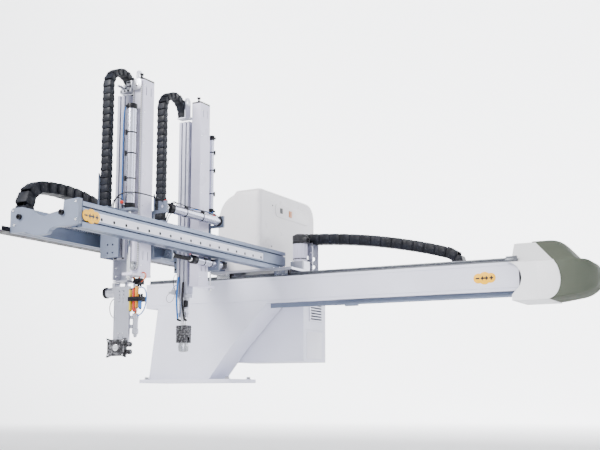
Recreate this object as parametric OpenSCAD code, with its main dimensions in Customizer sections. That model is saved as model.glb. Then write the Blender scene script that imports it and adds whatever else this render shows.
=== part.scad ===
// Traverse take-out manipulator with a telescopic product arm and a telescopic sprue arm.
// Millimetres. X runs along the traverse beam, Y away from the viewer, Z up.
// The origin is the centre of the base flange's bolt pattern, on its underside.

/* [Pedestal and flange] */
// Width of the base flange along X
flange_w = 670; // [640:10:760]
// Depth of the base flange along Y
flange_d = 300; // [280:10:400]
// Thickness of the base flange
flange_t = 22; // [16:1:30]
// Bolt spacing along X
bolt_x = 590; // [560:10:600]
// Bolt spacing along Y
bolt_y = 240; // [200:5:245]
// Diameter of the bolt holes
bolt_d = 18; // [14:0.5:22]
// Wall of the welded pedestal and beam
wall = 8; // [5:0.5:12]
// Height of the pedestal, up to the underside of the beam
pedestal_top = 463; // [440:5:520]

/* [Traverse beam] */
// Depth of the beam along Y
beam_d = 200; // [180:5:220]
// Height of the beam
beam_h = 152; // [140:2:170]
// X of the beam's free end
beam_left = -323; // [-360:5:-310]
// X of the beam's end inside the end cover
beam_right = 2060; // [2040:10:2100]
// Width of a linear guide rail
guide_w = 20; // [16:1:24]
// Height of a linear guide rail
guide_h = 24; // [20:1:28]
// Length of the end cover beyond the hood's front edge
end_len = 410; // [400:5:440]

/* [Carriage and kick frame] */
// Thickness of the carriage plate
plate_t = 14; // [10:1:18]
// Width of one kick rail extrusion
rail_w = 60; // [50:1:64]
// Height of one kick rail extrusion
rail_h = 117; // [110:1:125]
// Width of the kick frame over both extrusions
frame_w = 405; // [403:1:412]
// Length of the kick rails
rail_len = 1850; // [1840:10:1900]
// Width of the carriage cover
cover_w = 315; // [300:5:330]
// Length of the carriage cover
cover_len = 720; // [700:10:760]
// Height of the carriage cover above the carriage plate
cover_h = 500; // [480:5:520]
// Wall of the moulded covers
cover_t = 4; // [3:0.5:6]

/* [Arms] */
// Width of an arm column along X
column_w = 60; // [54:1:62]
// Depth of an arm column along Y
column_d = 95; // [88:1:98]
// Wall of an arm column
column_t = 3; // [2:0.5:5]
// Length of the main column
main_len = 990; // [960:5:1010]
// Length of the sub column
sub_len = 1003; // [970:5:1020]
// Width of an arm ram along X
ram_w = 65; // [60:1:68]
// Depth of an arm ram along Y
ram_d = 60; // [50:1:62]
// Bore of the main lift cylinder
main_bore = 40; // [36:1:42]
// Bore of the sub lift cylinder
sub_bore = 20; // [16:1:21]
// Wall of a cylinder barrel
barrel_t = 4; // [2:0.5:5]
// Length of the main lift cylinder
main_cyl_len = 533; // [520:1:540]
// Length of the sub lift cylinder
sub_cyl_len = 445; // [430:1:450]
// Length of the flip arm
flip_len = 272; // [250:2:290]
// Width of the chuck plate
chuck_w = 116; // [100:1:124]

/* [Cable chains] */
// Width of the traverse and kick chains
chain_w = 75; // [60:1:76]
// Width of the arm chains
arm_chain_w = 50; // [44:1:52]
// Height of the traverse chain's links
traverse_chain_h = 50; // [44:1:52]
// Height of the kick chain's links
kick_chain_h = 45; // [40:1:48]
// Height of the arm chains' links
arm_chain_h = 33; // [28:1:36]
// Bend radius of the traverse chain
traverse_bend = 75; // [70:1:80]
// Bend radius of the kick chain
kick_bend = 100; // [90:1:105]
// Bend radius of the arm chains
arm_bend = 95; // [88:1:100]

/* [Hidden] */
$fn = 48;
// Clearance between pieces that slide on each other
gap = 0.4;
// Radial clearance of a running fit
fit = 0.05;

beam_front = -beam_d / 2;
beam_back = beam_d / 2;
beam_z = pedestal_top;
beam_top = beam_z + beam_h;
plate_z = beam_top + guide_h + 13;
frame_z = plate_z + plate_t;
frame_top = frame_z + rail_h;
frame_left = 170;
frame_right = frame_left + frame_w;
front_rail_x = frame_right - rail_w;
frame_rear_y = 80;
frame_near_y = frame_rear_y - rail_len;
guide_z = frame_z + 70;
kick_guide_h = 12;

// Places of the two arms across and along the kick frame
column_x = front_rail_x - column_w - 25;
main_column_y = -1242;
sub_column_y = -726;
column_z = 520;
ram_x = column_x - 10 - ram_w;
main_ram_y = -1274;
sub_ram_y = -736;
carriage_z0 = 601;
carriage_z1 = 850;
carriage_x0 = frame_left + rail_w + 16;
carriage_x1 = front_rail_x - 24;
carriage_t = 12;
side_x = ram_x - 65;
lift_x = column_x + 25;
lift_y = -1284;
sub_lift_x = column_x + 40;
sub_lift_y = -582;
barrel_r = main_bore / 2 + barrel_t;
link_upper = [front_rail_x + 30, 868];
link_lower = [front_rail_x + 5, 637];
link_rod_r = 7;
link_barrel_r = 24;
link_low_r = 21;
main_back_y = main_column_y + column_d + 10;
sub_back_y = sub_column_y + column_d + 10;

function front_pedestal(w) = [
    [-294 + w, flange_t + w], [150 - w * 0.6, flange_t + w], [173 - w * 0.9, flange_t + 30],
    [299 - w * 0.9, flange_t + 183], [552 - w * 1.2, pedestal_top - w], [-235 + w, pedestal_top - w]];

function polar(r, a) = r * [cos(a), sin(a)];
module at(x, y, z) { translate([x, y, z]) children(); }
// A block from its two opposite corners
module span(a, b) { translate(a) cube([b[0] - a[0], b[1] - a[1], b[2] - a[2]]); }
// A round bar along Y, from y0 to y1
module bar_y(x, z, y0, y1, r) { translate([x, y0, z]) rotate([-90, 0, 0]) cylinder(r = r, h = y1 - y0); }
// A round bar along X
module bar_x(x0, x1, y, z, r) { translate([x0, y, z]) rotate([0, 90, 0]) cylinder(r = r, h = x1 - x0); }
// An outline drawn in X and Z, given a depth along Y from y0 to y1
module extrude_y(y0, y1) { translate([0, y1, 0]) rotate([90, 0, 0]) linear_extrude(y1 - y0) children(); }
// An outline drawn in Y and Z, given a width along X from x0 to x1
module extrude_x(x0, x1) {
    translate([x0, 0, 0]) rotate([90, 0, 90]) linear_extrude(x1 - x0) children();
}
module rounded(w, d, r) {
    for (x = [r, w - r], y = [r, d - r]) translate([x, y]) circle(r);
    translate([r, 0]) square([w - 2 * r, d]);
    translate([0, r]) square([w, d - 2 * r]);
}
module hex_socket(d, h) {
    difference() {
        cylinder(d = d, h = h);
        translate([0, 0, h * 0.45]) cylinder(d = d * 0.55, h = h, $fn = 6);
    }
}

// Pedestal

module base_flange() {
    color("whitesmoke") difference() {
        linear_extrude(flange_t) translate([-flange_w / 2, -flange_d / 2]) rounded(flange_w, flange_d, 12);
        for (x = [-1, 1], y = [-1, 1])
            at(x * bolt_x / 2, y * bolt_y / 2, -1) cylinder(d = bolt_d, h = flange_t + 2);
    }
}

module pedestal() {
    color("whitesmoke") difference() {
        extrude_y(beam_front, beam_back) polygon(front_pedestal(0));
        extrude_y(beam_front + wall, beam_back - wall) polygon(front_pedestal(wall));
        extrude_y(beam_back - 2 * wall, beam_back + 1) translate([-150, 90]) rounded(220, 260, 20);
    }
}

// Traverse beam

beam_groove = 6;
module traverse_beam() {
    color("whitesmoke") difference() {
        span([beam_left, beam_front, beam_z], [beam_right, beam_back, beam_top]);
        span([beam_left + wall, beam_front + wall, beam_z + wall],
             [beam_right + 1, beam_back - wall, beam_top - wall]);
        for (z = [beam_top - 22, beam_z + 12])
            span([beam_left - 1, beam_front - 1, z], [beam_right + 1, beam_front + 2, z + beam_groove]);
    }
}

top_guide_y = beam_front + 14;
rear_guide_y = beam_back - 44;
module traverse_guide_rails() {
    color("dimgray") for (y = [top_guide_y, rear_guide_y])
        difference() {
            span([beam_left + 12, y, beam_top], [beam_right - 60, y + guide_w, beam_top + guide_h]);
            for (s = [0, 1]) at(0, y + s * guide_w, beam_top + guide_h * 0.55) rotate([45, 0, 0])
                translate([beam_left, -2.5, -2.5]) cube([beam_right - beam_left, 5, 5]);
        }
}

// Rack on the beam's back face and the pinion that runs on it
gear_m = 3;
pinion_teeth = 16;
pinion_r = gear_m * pinion_teeth / 2;
rack_t = 16;
rack_y = beam_back + rack_t;
rack_z = beam_top - 30;
rack_h = 22;
rack_x0 = beam_left + 40;
rack_pitch = PI * gear_m;
rack_count = floor((beam_right - 100 - rack_x0) / rack_pitch);
pinion_x = 645;
pinion_y = rack_y + pinion_r;
rack_phase = pinion_x - round((pinion_x - rack_x0) / rack_pitch) * rack_pitch;
module rack_outline() {
    polygon(concat(
        [[rack_x0 - 8, beam_back], [rack_x0 - 8, rack_y - gear_m * 1.25]],
        [for (i = [0:rack_count - 1]) each let (c = rack_phase + (i + 0.5) * rack_pitch) [
            [c - 3.0, rack_y - gear_m * 1.25], [c - 1.2, rack_y + gear_m * 0.8],
            [c + 1.2, rack_y + gear_m * 0.8], [c + 3.0, rack_y - gear_m * 1.25]]],
        [[rack_phase + rack_count * rack_pitch + 6, rack_y - gear_m * 1.25],
         [rack_phase + rack_count * rack_pitch + 6, beam_back]]));
}
module traverse_gear_rack() {
    color("gray") at(0, 0, rack_z) linear_extrude(rack_h) rack_outline();
}

// The tooth that points at the rack lies between two rack teeth at rest
module traverse_pinion() {
    step = 360 / pinion_teeth;
    tooth_r = pinion_r + gear_m * 0.8;
    root_r = pinion_r - gear_m * 1.25;
    color("gray") at(pinion_x, pinion_y, rack_z - 2) {
        linear_extrude(rack_h + 4) rotate(-90) polygon([for (i = [0:pinion_teeth - 1]) each [
            polar(root_r, step * i - 8.2), polar(tooth_r, step * i - 2.4),
            polar(tooth_r, step * i + 2.4), polar(root_r, step * i + 8.2)]]);
        cylinder(r = 9, h = pinion_shaft_h);
    }
}

module beam_lip_rail() {
    lip_z = beam_z - 32;
    color("silver") {
        span([990, beam_front + 4, lip_z], [2050, beam_front + 12, lip_z + 9]);
        span([2050, beam_front, lip_z - 3], [2066, beam_front + 16, lip_z + 12]);
        span([560, beam_front + 30, lip_z + 4], [2050, beam_front + 42, beam_z]);
        span([990, beam_front + 4, lip_z + 5], [2050, beam_front + 42, lip_z + 9]);
        span([1060, beam_front - 1, lip_z - 8], [1140, beam_front + 10, lip_z + 2]);
    }
}

// Tray behind the beam for the chain's lower run
chain_y = 240;
tray_z = 505;
tray_t = 3;
tray_w = chain_w + 8;
module chain_tray() {
    x0 = 900;
    color("lightgray") {
        difference() {
            span([x0, chain_y - tray_w / 2, tray_z], [beam_right + 250, chain_y + tray_w / 2, tray_z + 26]);
            span([x0 - 1, chain_y - tray_w / 2 + tray_t, tray_z + tray_t],
                 [beam_right + 251, chain_y + tray_w / 2 - tray_t, tray_z + 27]);
        }
        for (x = [x0 + 30, 1350, 1700, beam_right - 130]) {
            span([x, beam_back, tray_z - 40], [x + 40, beam_back + 6, tray_z]);
            span([x, beam_back, tray_z - 6], [x + 40, chain_y + tray_w / 2, tray_z]);
        }
    }
}

// End cover: a white hood that is open towards the beam, and a grey nose
hood_x = 2032;
hood_left = hood_x - 45;
hood_y0 = beam_front - 30;
hood_y1 = beam_back + 60;
hood_z0 = 409;
hood_z1 = 749;
end_x = hood_x + end_len;
seam = [[hood_x + 54, hood_z1], [hood_x + 218, hood_z1 - 146], [hood_x + 236, hood_z0 + 95],
        [hood_x + 180, hood_z0]];
function arc(c, r, a0, a1, n) = [for (i = [0:n]) c + polar(r, a0 + (a1 - a0) * i / n)];
// The whole cover in X and Z; the inner form runs out to the left
module end_outline(w) {
    left = w > 0 ? [[hood_left - 10, hood_z0 + w], [hood_left - 10, hood_z1 - w]]
        : concat([[hood_x - 4, hood_z0], [hood_x - 4, hood_z0 + 30]],
            arc([hood_x - 36, hood_z0 + 118], 84, -52, 52, 8),
            [[hood_x, hood_z0 + 195], [hood_left, hood_z1 - 90], [hood_left, hood_z1]]);
    polygon(concat([[hood_x + 160, hood_z1 - w], [hood_x + 240, hood_z1 - 30 - w],
        [end_x - 90 - w, hood_z1 - 156 - w], [end_x - 45 - w, hood_z1 - 170 - w],
        [end_x - 8 - w, hood_z1 - 200],
        [end_x - w, hood_z1 - 240], [end_x - 14 - w, hood_z0 + 46], [end_x - 85 - w, hood_z0 + 18 + w],
        [seam[3][0] + 48, hood_z0 + 4 + w], [seam[3][0], hood_z0 + w]], left));
}
module end_plan(w) {
    r = 110;
    polygon([[hood_x - 4 - w, hood_y0 + w], [end_x - r, hood_y0 + w], [end_x - r, hood_y1 - w],
             [hood_left - w, hood_y1 - w], [hood_left - w, beam_back - 20]]);
    translate([hood_x, hood_y0 + r]) square([end_len - w, hood_y1 - hood_y0 - 2 * r]);
    for (y = [hood_y0 + r, hood_y1 - r]) translate([end_x - r, y]) circle(r - w);
}
module end_side(w) {
    polygon([[hood_y0 + w, hood_z0 + w], [hood_y0 + w, hood_z0 + 200 - w * 0.5],
             [beam_back - 20, hood_z1 - 14 - w], [hood_y1 - w, hood_z1 - w], [hood_y1 - w, hood_z0 + w]]);
}
module end_form(w) {
    intersection() {
        extrude_y(hood_y0 + w, hood_y1 - w) end_outline(w);
        extrude_x(hood_left - 20, end_x) end_side(w);
        at(0, 0, hood_z0 - 10) linear_extrude(hood_z1 - hood_z0 + 20) end_plan(w);
    }
}
module end_shell() {
    difference() {
        end_form(0);
        end_form(cover_t);
        span([hood_left - 20, hood_y0 + cover_t, hood_z0 + cover_t],
             [hood_x, hood_y1 - cover_t, hood_z0 + 190]);
    }
}
// Everything on one side of the seam
module seam_side(x) {
    extrude_y(hood_y0 - 1, hood_y1 + 1)
        polygon([[x, hood_z1 + 1], seam[0] + [0, 1], seam[1], seam[2], seam[3] - [0, 1], [x, hood_z0 - 1]]);
}
module end_cover_white() {
    color("white") intersection() {
        end_shell();
        seam_side(hood_left - 30);
    }
}
module end_cover_grey() {
    color("darkseagreen") intersection() {
        end_shell();
        seam_side(end_x + 10);
    }
}

// Control box behind the beam
box_x0 = 183;
box_x1 = 683;
box_y0 = beam_back + 10;
box_y1 = box_y0 + 290;
box_z0 = 126;
box_z1 = 548;
module control_box() {
    color("gainsboro") {
        difference() {
            span([box_x0, box_y0, box_z0], [box_x1, box_y1, box_z1]);
            span([box_x0 + cover_t, box_y0 + cover_t, box_z0 + cover_t],
                 [box_x1 - cover_t, box_y1 - cover_t, box_z1 - cover_t]);
            span([box_x1 - cover_t - 1, box_y0 + 80, box_z1 - 170], [box_x1 + 1, box_y1 - 50, box_z1 - 50]);
            span([box_x1 - 2, box_y0 - 1, box_z0 + 188], [box_x1 + 1, box_y1 + 1, box_z0 + 192]);
        }
        for (x = [box_x0 + 50, box_x1 - 90])
            span([x, beam_back, box_z1 - 60], [x + 40, box_y0, box_z1 - 10]);
    }
}
module control_box_vents() {
    y0 = box_y0 + 72;
    y1 = box_y1 - 42;
    color("white") difference() {
        span([box_x1 + 0.3, y0, box_z1 - 178], [box_x1 + 4, y1, box_z1 - 42]);
        for (z = [box_z1 - 166:17:box_z1 - 60]) span([box_x1, y0 + 18, z], [box_x1 + 5, y1 - 18, z + 8]);
    }
}

// Cable chains

// A chain's centre line is a list of [length, turn] pieces, followed from a point and a heading
function step(p, a, piece, s) = let (t = piece[1] * s / piece[0]) abs(piece[1]) < 0.01
    ? [p + s * [cos(a), sin(a)], a]
    : let (r = piece[0] * 180 / (PI * piece[1])) [p + r * [sin(a + t) - sin(a), cos(a) - cos(a + t)], a + t];
function place(p, a, pieces, s, i = 0) = i >= len(pieces) - 1 || s <= pieces[i][0] ? step(p, a, pieces[i], s)
    : let (e = step(p, a, pieces[i], pieces[i][0])) place(e[0], e[1], pieces, s - pieces[i][0], i + 1);
function total(pieces, i = 0) = i < len(pieces) ? pieces[i][0] + total(pieces, i + 1) : 0;
function walk(p, a, pieces, pitch) = let (l = total(pieces), n = round(l / pitch))
    [for (i = [0:n]) place(p, a, pieces, l * i / n)];
function bend(r, turn) = [r * abs(turn) * PI / 180, turn];
// One scalloped edge of a chain: every link bulges out by dip between its two pins
function edge(w, out, dip, tip) = [for (i = [0:len(w) - 2]) let (
    p = w[i][0] + polar(out, w[i][1] + 90), q = w[i + 1][0] + polar(out, w[i + 1][1] + 90),
    bulge = polar(sign(out) * dip, (w[i][1] + w[i + 1][1]) / 2 + 90))
    each [p + (q - p) * 0.03, p + (q - p) * tip + bulge, q + (p - q) * tip + bulge, q + (p - q) * 0.03]];
function reversed(v) = [for (i = [len(v) - 1:-1:0]) v[i]];
module chain_band(w, h, dip, tip) {
    polygon(concat(edge(w, h / 2 - dip, dip, tip), reversed(edge(w, dip - h / 2, dip, tip))));
}
// Two side plates with scalloped links, and a core with one raised crossbar a link
module chain_links(w, width, h) {
    cheek = width * 0.13;
    linear_extrude(cheek) chain_band(w, h, 4, 0.14);
    translate([0, 0, width - cheek]) linear_extrude(cheek) chain_band(w, h, 4, 0.14);
    translate([0, 0, cheek / 2]) linear_extrude(width - cheek) chain_band(w, h - 2, 6, 0.35);
}

chain_low_z = tray_z + tray_t + gap + traverse_chain_h / 2;
traverse_loop_x = 1562;
chain_end_x = 600;
chain_fix_x = 1000;
chain_run = traverse_loop_x - chain_end_x + 73;
chain_rise = 150;
module traverse_cable_chain() {
    line = [[traverse_loop_x - chain_fix_x, 0], bend(traverse_bend, 146), [chain_rise, 14],
            [chain_run - chain_rise, 22]];
    color("black") translate([0, chain_y + chain_w / 2, 0]) rotate([90, 0, 0])
        chain_links(walk([chain_fix_x, chain_low_z], 0, line, traverse_chain_h * 1.1),
                    chain_w, traverse_chain_h);
}

kick_chain_x = 85;
kick_tray_z = 672;
kick_chain_z = kick_tray_z + 3 + gap + kick_chain_h / 2;
kick_loop_y = -1583;
kick_fix_y = -1000;
kick_end_y = -1150;
module kick_cable_chain() {
    color("black") translate([kick_chain_x, 0, 0]) rotate([90, 0, 90]) chain_links(
        walk([kick_fix_y, kick_chain_z], 180, [[kick_fix_y - kick_loop_y, 0], bend(kick_bend, -172),
             [kick_end_y - kick_loop_y, -14]], kick_chain_h * 1.1), chain_w, kick_chain_h);
}

arm_chain_x = ram_x - 5;
main_chain_y = -1371;
sub_chain_y = -920;
arm_chain_foot = 840 + gap;
module arm_chain(y, bend_z) {
    translate([arm_chain_x, 0, 0]) rotate([90, 0, 90]) chain_links(
        walk([y, arm_chain_foot], 90, [[bend_z - arm_chain_foot, 0], bend(arm_bend, -168)],
             arm_chain_h * 1.1), arm_chain_w, arm_chain_h);
}
module main_cable_chain() { color("black") arm_chain(main_chain_y, column_z + main_len - 57); }
module sub_cable_chain() { color("black") arm_chain(sub_chain_y, column_z + sub_len - 70); }

// Traverse carriage

plate_x0 = 165;
plate_x1 = 728;
module carriage_plate() {
    color("silver") difference() {
        union() {
            span([plate_x0, beam_front - 20, plate_z], [plate_x1, chain_y + 42, frame_z]);
            span([plate_x1 - 150, rack_y + gap, plate_z - 16], [plate_x1 - 60, pinion_y + 34, plate_z]);
        }
        at(pinion_x, pinion_y, plate_z - 20) cylinder(r = 14, h = 60);
    }
}
module guide_block(y) {
    for (x = [200, 600])
        difference() {
            span([x, y - 13, beam_top + 8], [x + 90, y + guide_w + 13, plate_z]);
            span([x - 1, y - gap, beam_top], [x + 91, y + guide_w + gap, beam_top + guide_h + gap]);
        }
}
module traverse_guide_blocks() {
    color("gray") for (y = [top_guide_y, rear_guide_y]) guide_block(y);
}

cover_x0 = 165;
cover_x1 = cover_x0 + cover_w;
cover_y0 = -67;
cover_y1 = cover_y0 + cover_len;
cover_z0 = frame_z + gap;
cover_z1 = frame_z + cover_h;
cover_screw = [[86, cover_z1 - 82], [76, frame_z + 162], [457, frame_z + 110]];
module cover_plan(w) {
    c = 60;
    polygon([[cover_x0 + c, cover_y0 + w], [cover_x1 - 26, cover_y0 + w], [cover_x1 - w, cover_y0 + 26],
             [cover_x1 - w, cover_y1 - 40], [cover_x1 - 40, cover_y1 - w], [cover_x0 + c, cover_y1 - w],
             [cover_x0 + w, cover_y1 - c], [cover_x0 + w, cover_y0 + c]]);
}
module cover_side(w) {
    polygon([[cover_y0 + w, cover_z0 - 1], [cover_y0 + w, cover_z1 - 22], [cover_y0 + 26, cover_z1 - w],
             [cover_y1 - 90, cover_z1 - w], [cover_y1 - 26, cover_z1 - 30], [cover_y1 - w, cover_z1 - 100],
             [cover_y1 - w, frame_z + 190], [cover_y1 - 110, frame_z + 170], [cover_y1 - 160, frame_z + 100],
             [cover_y1 - 190, cover_z0 - 1]]);
}
module cover_front(w) {
    polygon([[cover_x0 + w, cover_z0 - 1], [cover_x0 + w, cover_z1 - 130], [cover_x0 + 50, cover_z1 - 40],
             [cover_x0 + 125, cover_z1 - w], [cover_x1 - 14, cover_z1 - w], [cover_x1 - w, cover_z1 - 22],
             [cover_x1 - w, cover_z0 - 1]]);
}
module cover_solid(w) {
    intersection() {
        at(0, 0, cover_z0) linear_extrude(cover_h) cover_plan(w);
        extrude_x(cover_x0 - 1, cover_x1 + 1) cover_side(w);
        extrude_y(cover_y0 - 1, cover_y1 + 1) cover_front(w);
    }
}
module carriage_cover() {
    color("white") difference() {
        cover_solid(0);
        translate([0, 0, -1]) cover_solid(cover_t);
        span([frame_left - 12, cover_y0 - 5, cover_z0 - 5],
             [frame_left + rail_w + 4, frame_rear_y + 4, frame_top + 4]);
        for (c = cover_screw) bar_x(cover_x1 - 20, cover_x1 + 20, c[0], c[1], 4.5);
    }
}
module cover_screws() {
    color("dimgray") {
        for (c = cover_screw) bar_x(cover_x1 - cover_t, cover_x1 + 2, c[0], c[1], 4.4);
        for (x = [end_bolt_x0, end_bolt_x1])
            at(x, frame_near_y - end_plate_t, guide_z) rotate([90, 0, 0]) hex_socket(26, 12);
    }
}

// Kick frame

// Extrusion with two slots on its outer face, slots above and below, and hollow chambers
module rail_outline() {
    slot_w = 8;
    difference() {
        square([rail_w, rail_h]);
        for (z = [rail_h * 0.24, rail_h * 0.79]) translate([rail_w, z]) {
            translate([-9, -slot_w / 2]) square([10, slot_w]);
            translate([-14, -slot_w]) square([7, slot_w * 2]);
        }
        for (z = [0, rail_h]) translate([rail_w / 2, z]) {
            translate([-slot_w / 2, -9]) square([slot_w, 18]);
            translate([-slot_w, z > 0 ? -14 : 7]) square([slot_w * 2, 7]);
        }
        translate([7, 22]) rounded(rail_w - 28, rail_h * 0.32, 4);
        translate([7, 22 + rail_h * 0.36]) rounded(rail_w - 28, rail_h * 0.27, 4);
    }
}
module front_kick_rail() {
    color("lightsteelblue") translate([front_rail_x, 0, frame_z])
        extrude_y(frame_near_y, frame_rear_y) rail_outline();
}
module rear_kick_rail() {
    color("lightsteelblue") {
        translate([frame_left + rail_w, 0, frame_z]) extrude_y(frame_near_y, frame_rear_y)
            mirror([1, 0]) rail_outline();
    }
}
module kick_guide_rails() {
    color("silver") {
        span([frame_left + rail_w, frame_near_y + 20, guide_z - guide_w / 2],
             [frame_left + rail_w + kick_guide_h, frame_rear_y - 190, guide_z + guide_w / 2]);
        span([front_rail_x - kick_guide_h, frame_near_y + 20, guide_z - guide_w / 2],
             [front_rail_x, frame_rear_y - 190, guide_z + guide_w / 2]);
    }
}
strip_holes = 17;
module rail_cover_strip() {
    z0 = frame_z + 40;
    y1 = frame_rear_y - 270;
    y0 = frame_near_y + 130;
    color("white") difference() {
        span([frame_right, frame_near_y + 6, z0], [frame_right + 2, y1, z0 + 38]);
        for (i = [0:strip_holes - 1])
            bar_x(frame_right - 1, frame_right + 3, y0 + (y1 - 24 - y0) * i / (strip_holes - 1), z0 + 12, 4);
    }
}

// Cast plate over the near ends of both extrusions
end_plate_t = 26;
end_bolt_x0 = frame_left + 58;
end_bolt_x1 = frame_right - 95;
module kick_end_plate() {
    w = frame_w - 26;
    color("lightsteelblue") translate([frame_left, 0, frame_z])
        extrude_y(frame_near_y - end_plate_t, frame_near_y) difference() {
            polygon(concat([[0, 0], [84, 0], [150, -22], [196, -22]], arc([214, 2], 24, -90, -10, 5),
                [[260, 8], [w, 8], [w + 24, 14], [w + 24, rail_h + 12], [w - 60, rail_h + 8],
                 [w - 64, rail_h - 36], [w - 120, rail_h - 42]], arc([205, rail_h + 8], 62, -62, -118, 6),
                [[118, rail_h - 14], [70, rail_h - 2], [12, rail_h - 2], [0, rail_h - 16]]));
            for (x = [end_bolt_x0, end_bolt_x1]) translate([x - frame_left, guide_z - frame_z]) circle(6);
        }
}

// Tray beside the rear extrusion for the kick chain
module kick_chain_tray() {
    y0 = frame_near_y - 75;
    y1 = frame_rear_y - 160;
    color("dimgray") difference() {
        union() {
            span([kick_chain_x - 5, y0, kick_tray_z], [frame_left, y1, kick_tray_z + 22]);
            span([frame_left - 3, frame_near_y + 1, kick_tray_z], [frame_left, y1, kick_tray_z + 60]);
        }
        span([kick_chain_x - 2, y0 - 1, kick_tray_z + 3], [frame_left - 3 - gap, y1 + 1, kick_tray_z + 70]);
    }
}

// Bracket that holds the moving end of the traverse chain
bracket_x = 628;
bracket_z = 850;
module chain_bracket() {
    y0 = chain_y - tray_w / 2 + 1;
    y1 = chain_y + tray_w / 2 - 1;
    color("silver") difference() {
        union() {
            span([bracket_x, y0, frame_z], [bracket_x + 70, y0 + 5, bracket_z]);
            span([bracket_x - 30, y0, bracket_z - 5], [bracket_x + 70, y1, bracket_z]);
            span([bracket_x, y1 - 5, frame_z], [bracket_x + 70, y1, bracket_z]);
            span([bracket_x - 40, y0, frame_z], [bracket_x + 90, y1, frame_z + 6]);
        }
        for (z = [710, 760]) bar_y(bracket_x + 35, z, y0 - 1, y1 + 1, 12);
    }
}

gearbox_h = 62;
motor_r = 40;
motor_h = 150;
pinion_shaft_h = frame_z + 20 - (rack_z - 2);
module traverse_gearbox() {
    color("dimgray") difference() {
        at(pinion_x, pinion_y, frame_z) union() {
            linear_extrude(gearbox_h) translate([-46, -46]) rounded(92, 92, 10);
            cylinder(r = 52, h = 12);
        }
        at(pinion_x, pinion_y, frame_z - 1) cylinder(r = 9 + fit, h = 30);
    }
}
module traverse_motor() {
    color("dimgray") at(pinion_x, pinion_y, frame_z + gearbox_h) {
        cylinder(r = motor_r, h = motor_h);
        for (a = [0:30:330]) rotate(a) translate([motor_r - 3, -3, 10]) cube([7, 6, motor_h - 30]);
        at(0, 0, motor_h) cylinder(r = motor_r - 6, h = 14);
    }
}

// Main arm on the kick frame

module kick_blocks(y) {
    for (s = [0, 1]) {
        x0 = s == 0 ? frame_left + rail_w + 4 : carriage_x1;
        difference() {
            span([x0, y - 34, guide_z - 26], [x0 + 20, y + 50, guide_z + 26]);
            slot_x = s == 0 ? [x0 - 1, frame_left + rail_w + kick_guide_h + gap]
                : [front_rail_x - kick_guide_h - gap, x0 + 21];
            span([slot_x[0], y - 35, guide_z - guide_w / 2 - gap],
                 [slot_x[1], y + 51, guide_z + guide_w / 2 + gap]);
        }
    }
}
module carriage_back(y) {
    difference() {
        span([carriage_x0 + 8, y, carriage_z0], [carriage_x1, y + carriage_t, carriage_z1]);
        span([side_x + 40, y - 1, carriage_z0 + 60], [side_x + 110, y + carriage_t + 1, carriage_z1 - 70]);
    }
    for (z = [carriage_z0 + 24, carriage_z1 - 74])
        span([column_x + 8, y - 10 + gap, z], [column_x + column_w - 8, y, z + 50]);
}
module main_carriage() {
    y0 = -1300;
    y1 = main_back_y;
    lug_y = y1 + 93;
    shelf = [carriage_z1 - 22, carriage_z1 - 10];
    chain_x1 = arm_chain_x + arm_chain_w;
    color("lightslategray") difference() {
        union() {
            carriage_back(y1);
            span([side_x, y0, carriage_z0], [side_x + 10, y1, carriage_z1]);
            span([side_x, y0, carriage_z0], [chain_x1 + 3, y0 + 10, carriage_z1 - 84]);
            span([side_x, y0, carriage_z1 - 84], [arm_chain_x - 5, y0 + 10, carriage_z1]);
            span([side_x, y0 - 10, shelf[0]], [carriage_x1, y0 + 20, shelf[1]]);
            span([ram_x + ram_w + 8, y0 - 10, shelf[0]], [carriage_x1, lift_y + barrel_r + 1, shelf[1]]);
            // Foot of the arm chain and seat of the kick chain's moving end
            span([side_x, main_chain_y - 22, shelf[0]], [chain_x1 + 5, y0, shelf[1]]);
            span([arm_chain_x - 4, main_chain_y - 20, shelf[0]], [arm_chain_x - gap, main_chain_y + 20, 985]);
            span([kick_chain_x, kick_end_y - 30, 868], [side_x + 10, kick_end_y + 50, 874]);
            span([side_x, kick_end_y - 30, carriage_z1 - 20], [side_x + 10, kick_end_y + 25, 874]);
            // Lugs of the two link cylinders
            span([carriage_x1 - 20, y1, carriage_z1 - 15],
                 [link_upper[0] + 30, y1 + carriage_t, carriage_z1]);
            span([link_upper[0] - 25, y1, carriage_z1 - 15], [link_upper[0] + 25, y1 + carriage_t, 896]);
            span([carriage_x1 - 20, y1, carriage_z0], [link_lower[0] + 22, lug_y + 12, carriage_z0 + 8]);
            span([link_lower[0] - 22, lug_y, carriage_z0], [link_lower[0] + 22, lug_y + 12, 659]);
        }
        for (x = [side_x + 46, side_x + 77], z = [624, 664]) bar_y(x, z, y0 - 1, y0 + 11, 5);
        at(lift_x, lift_y, carriage_z1 - 30) cylinder(r = 12, h = 40);
        bar_y(link_upper[0], link_upper[1], y1 - 1, y1 + carriage_t + 1, link_rod_r);
        bar_y(link_lower[0], link_lower[1], lug_y - 1, lug_y + 13, link_rod_r);
    }
}
module main_guide_blocks() { color("gray") kick_blocks(main_back_y); }

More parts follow.
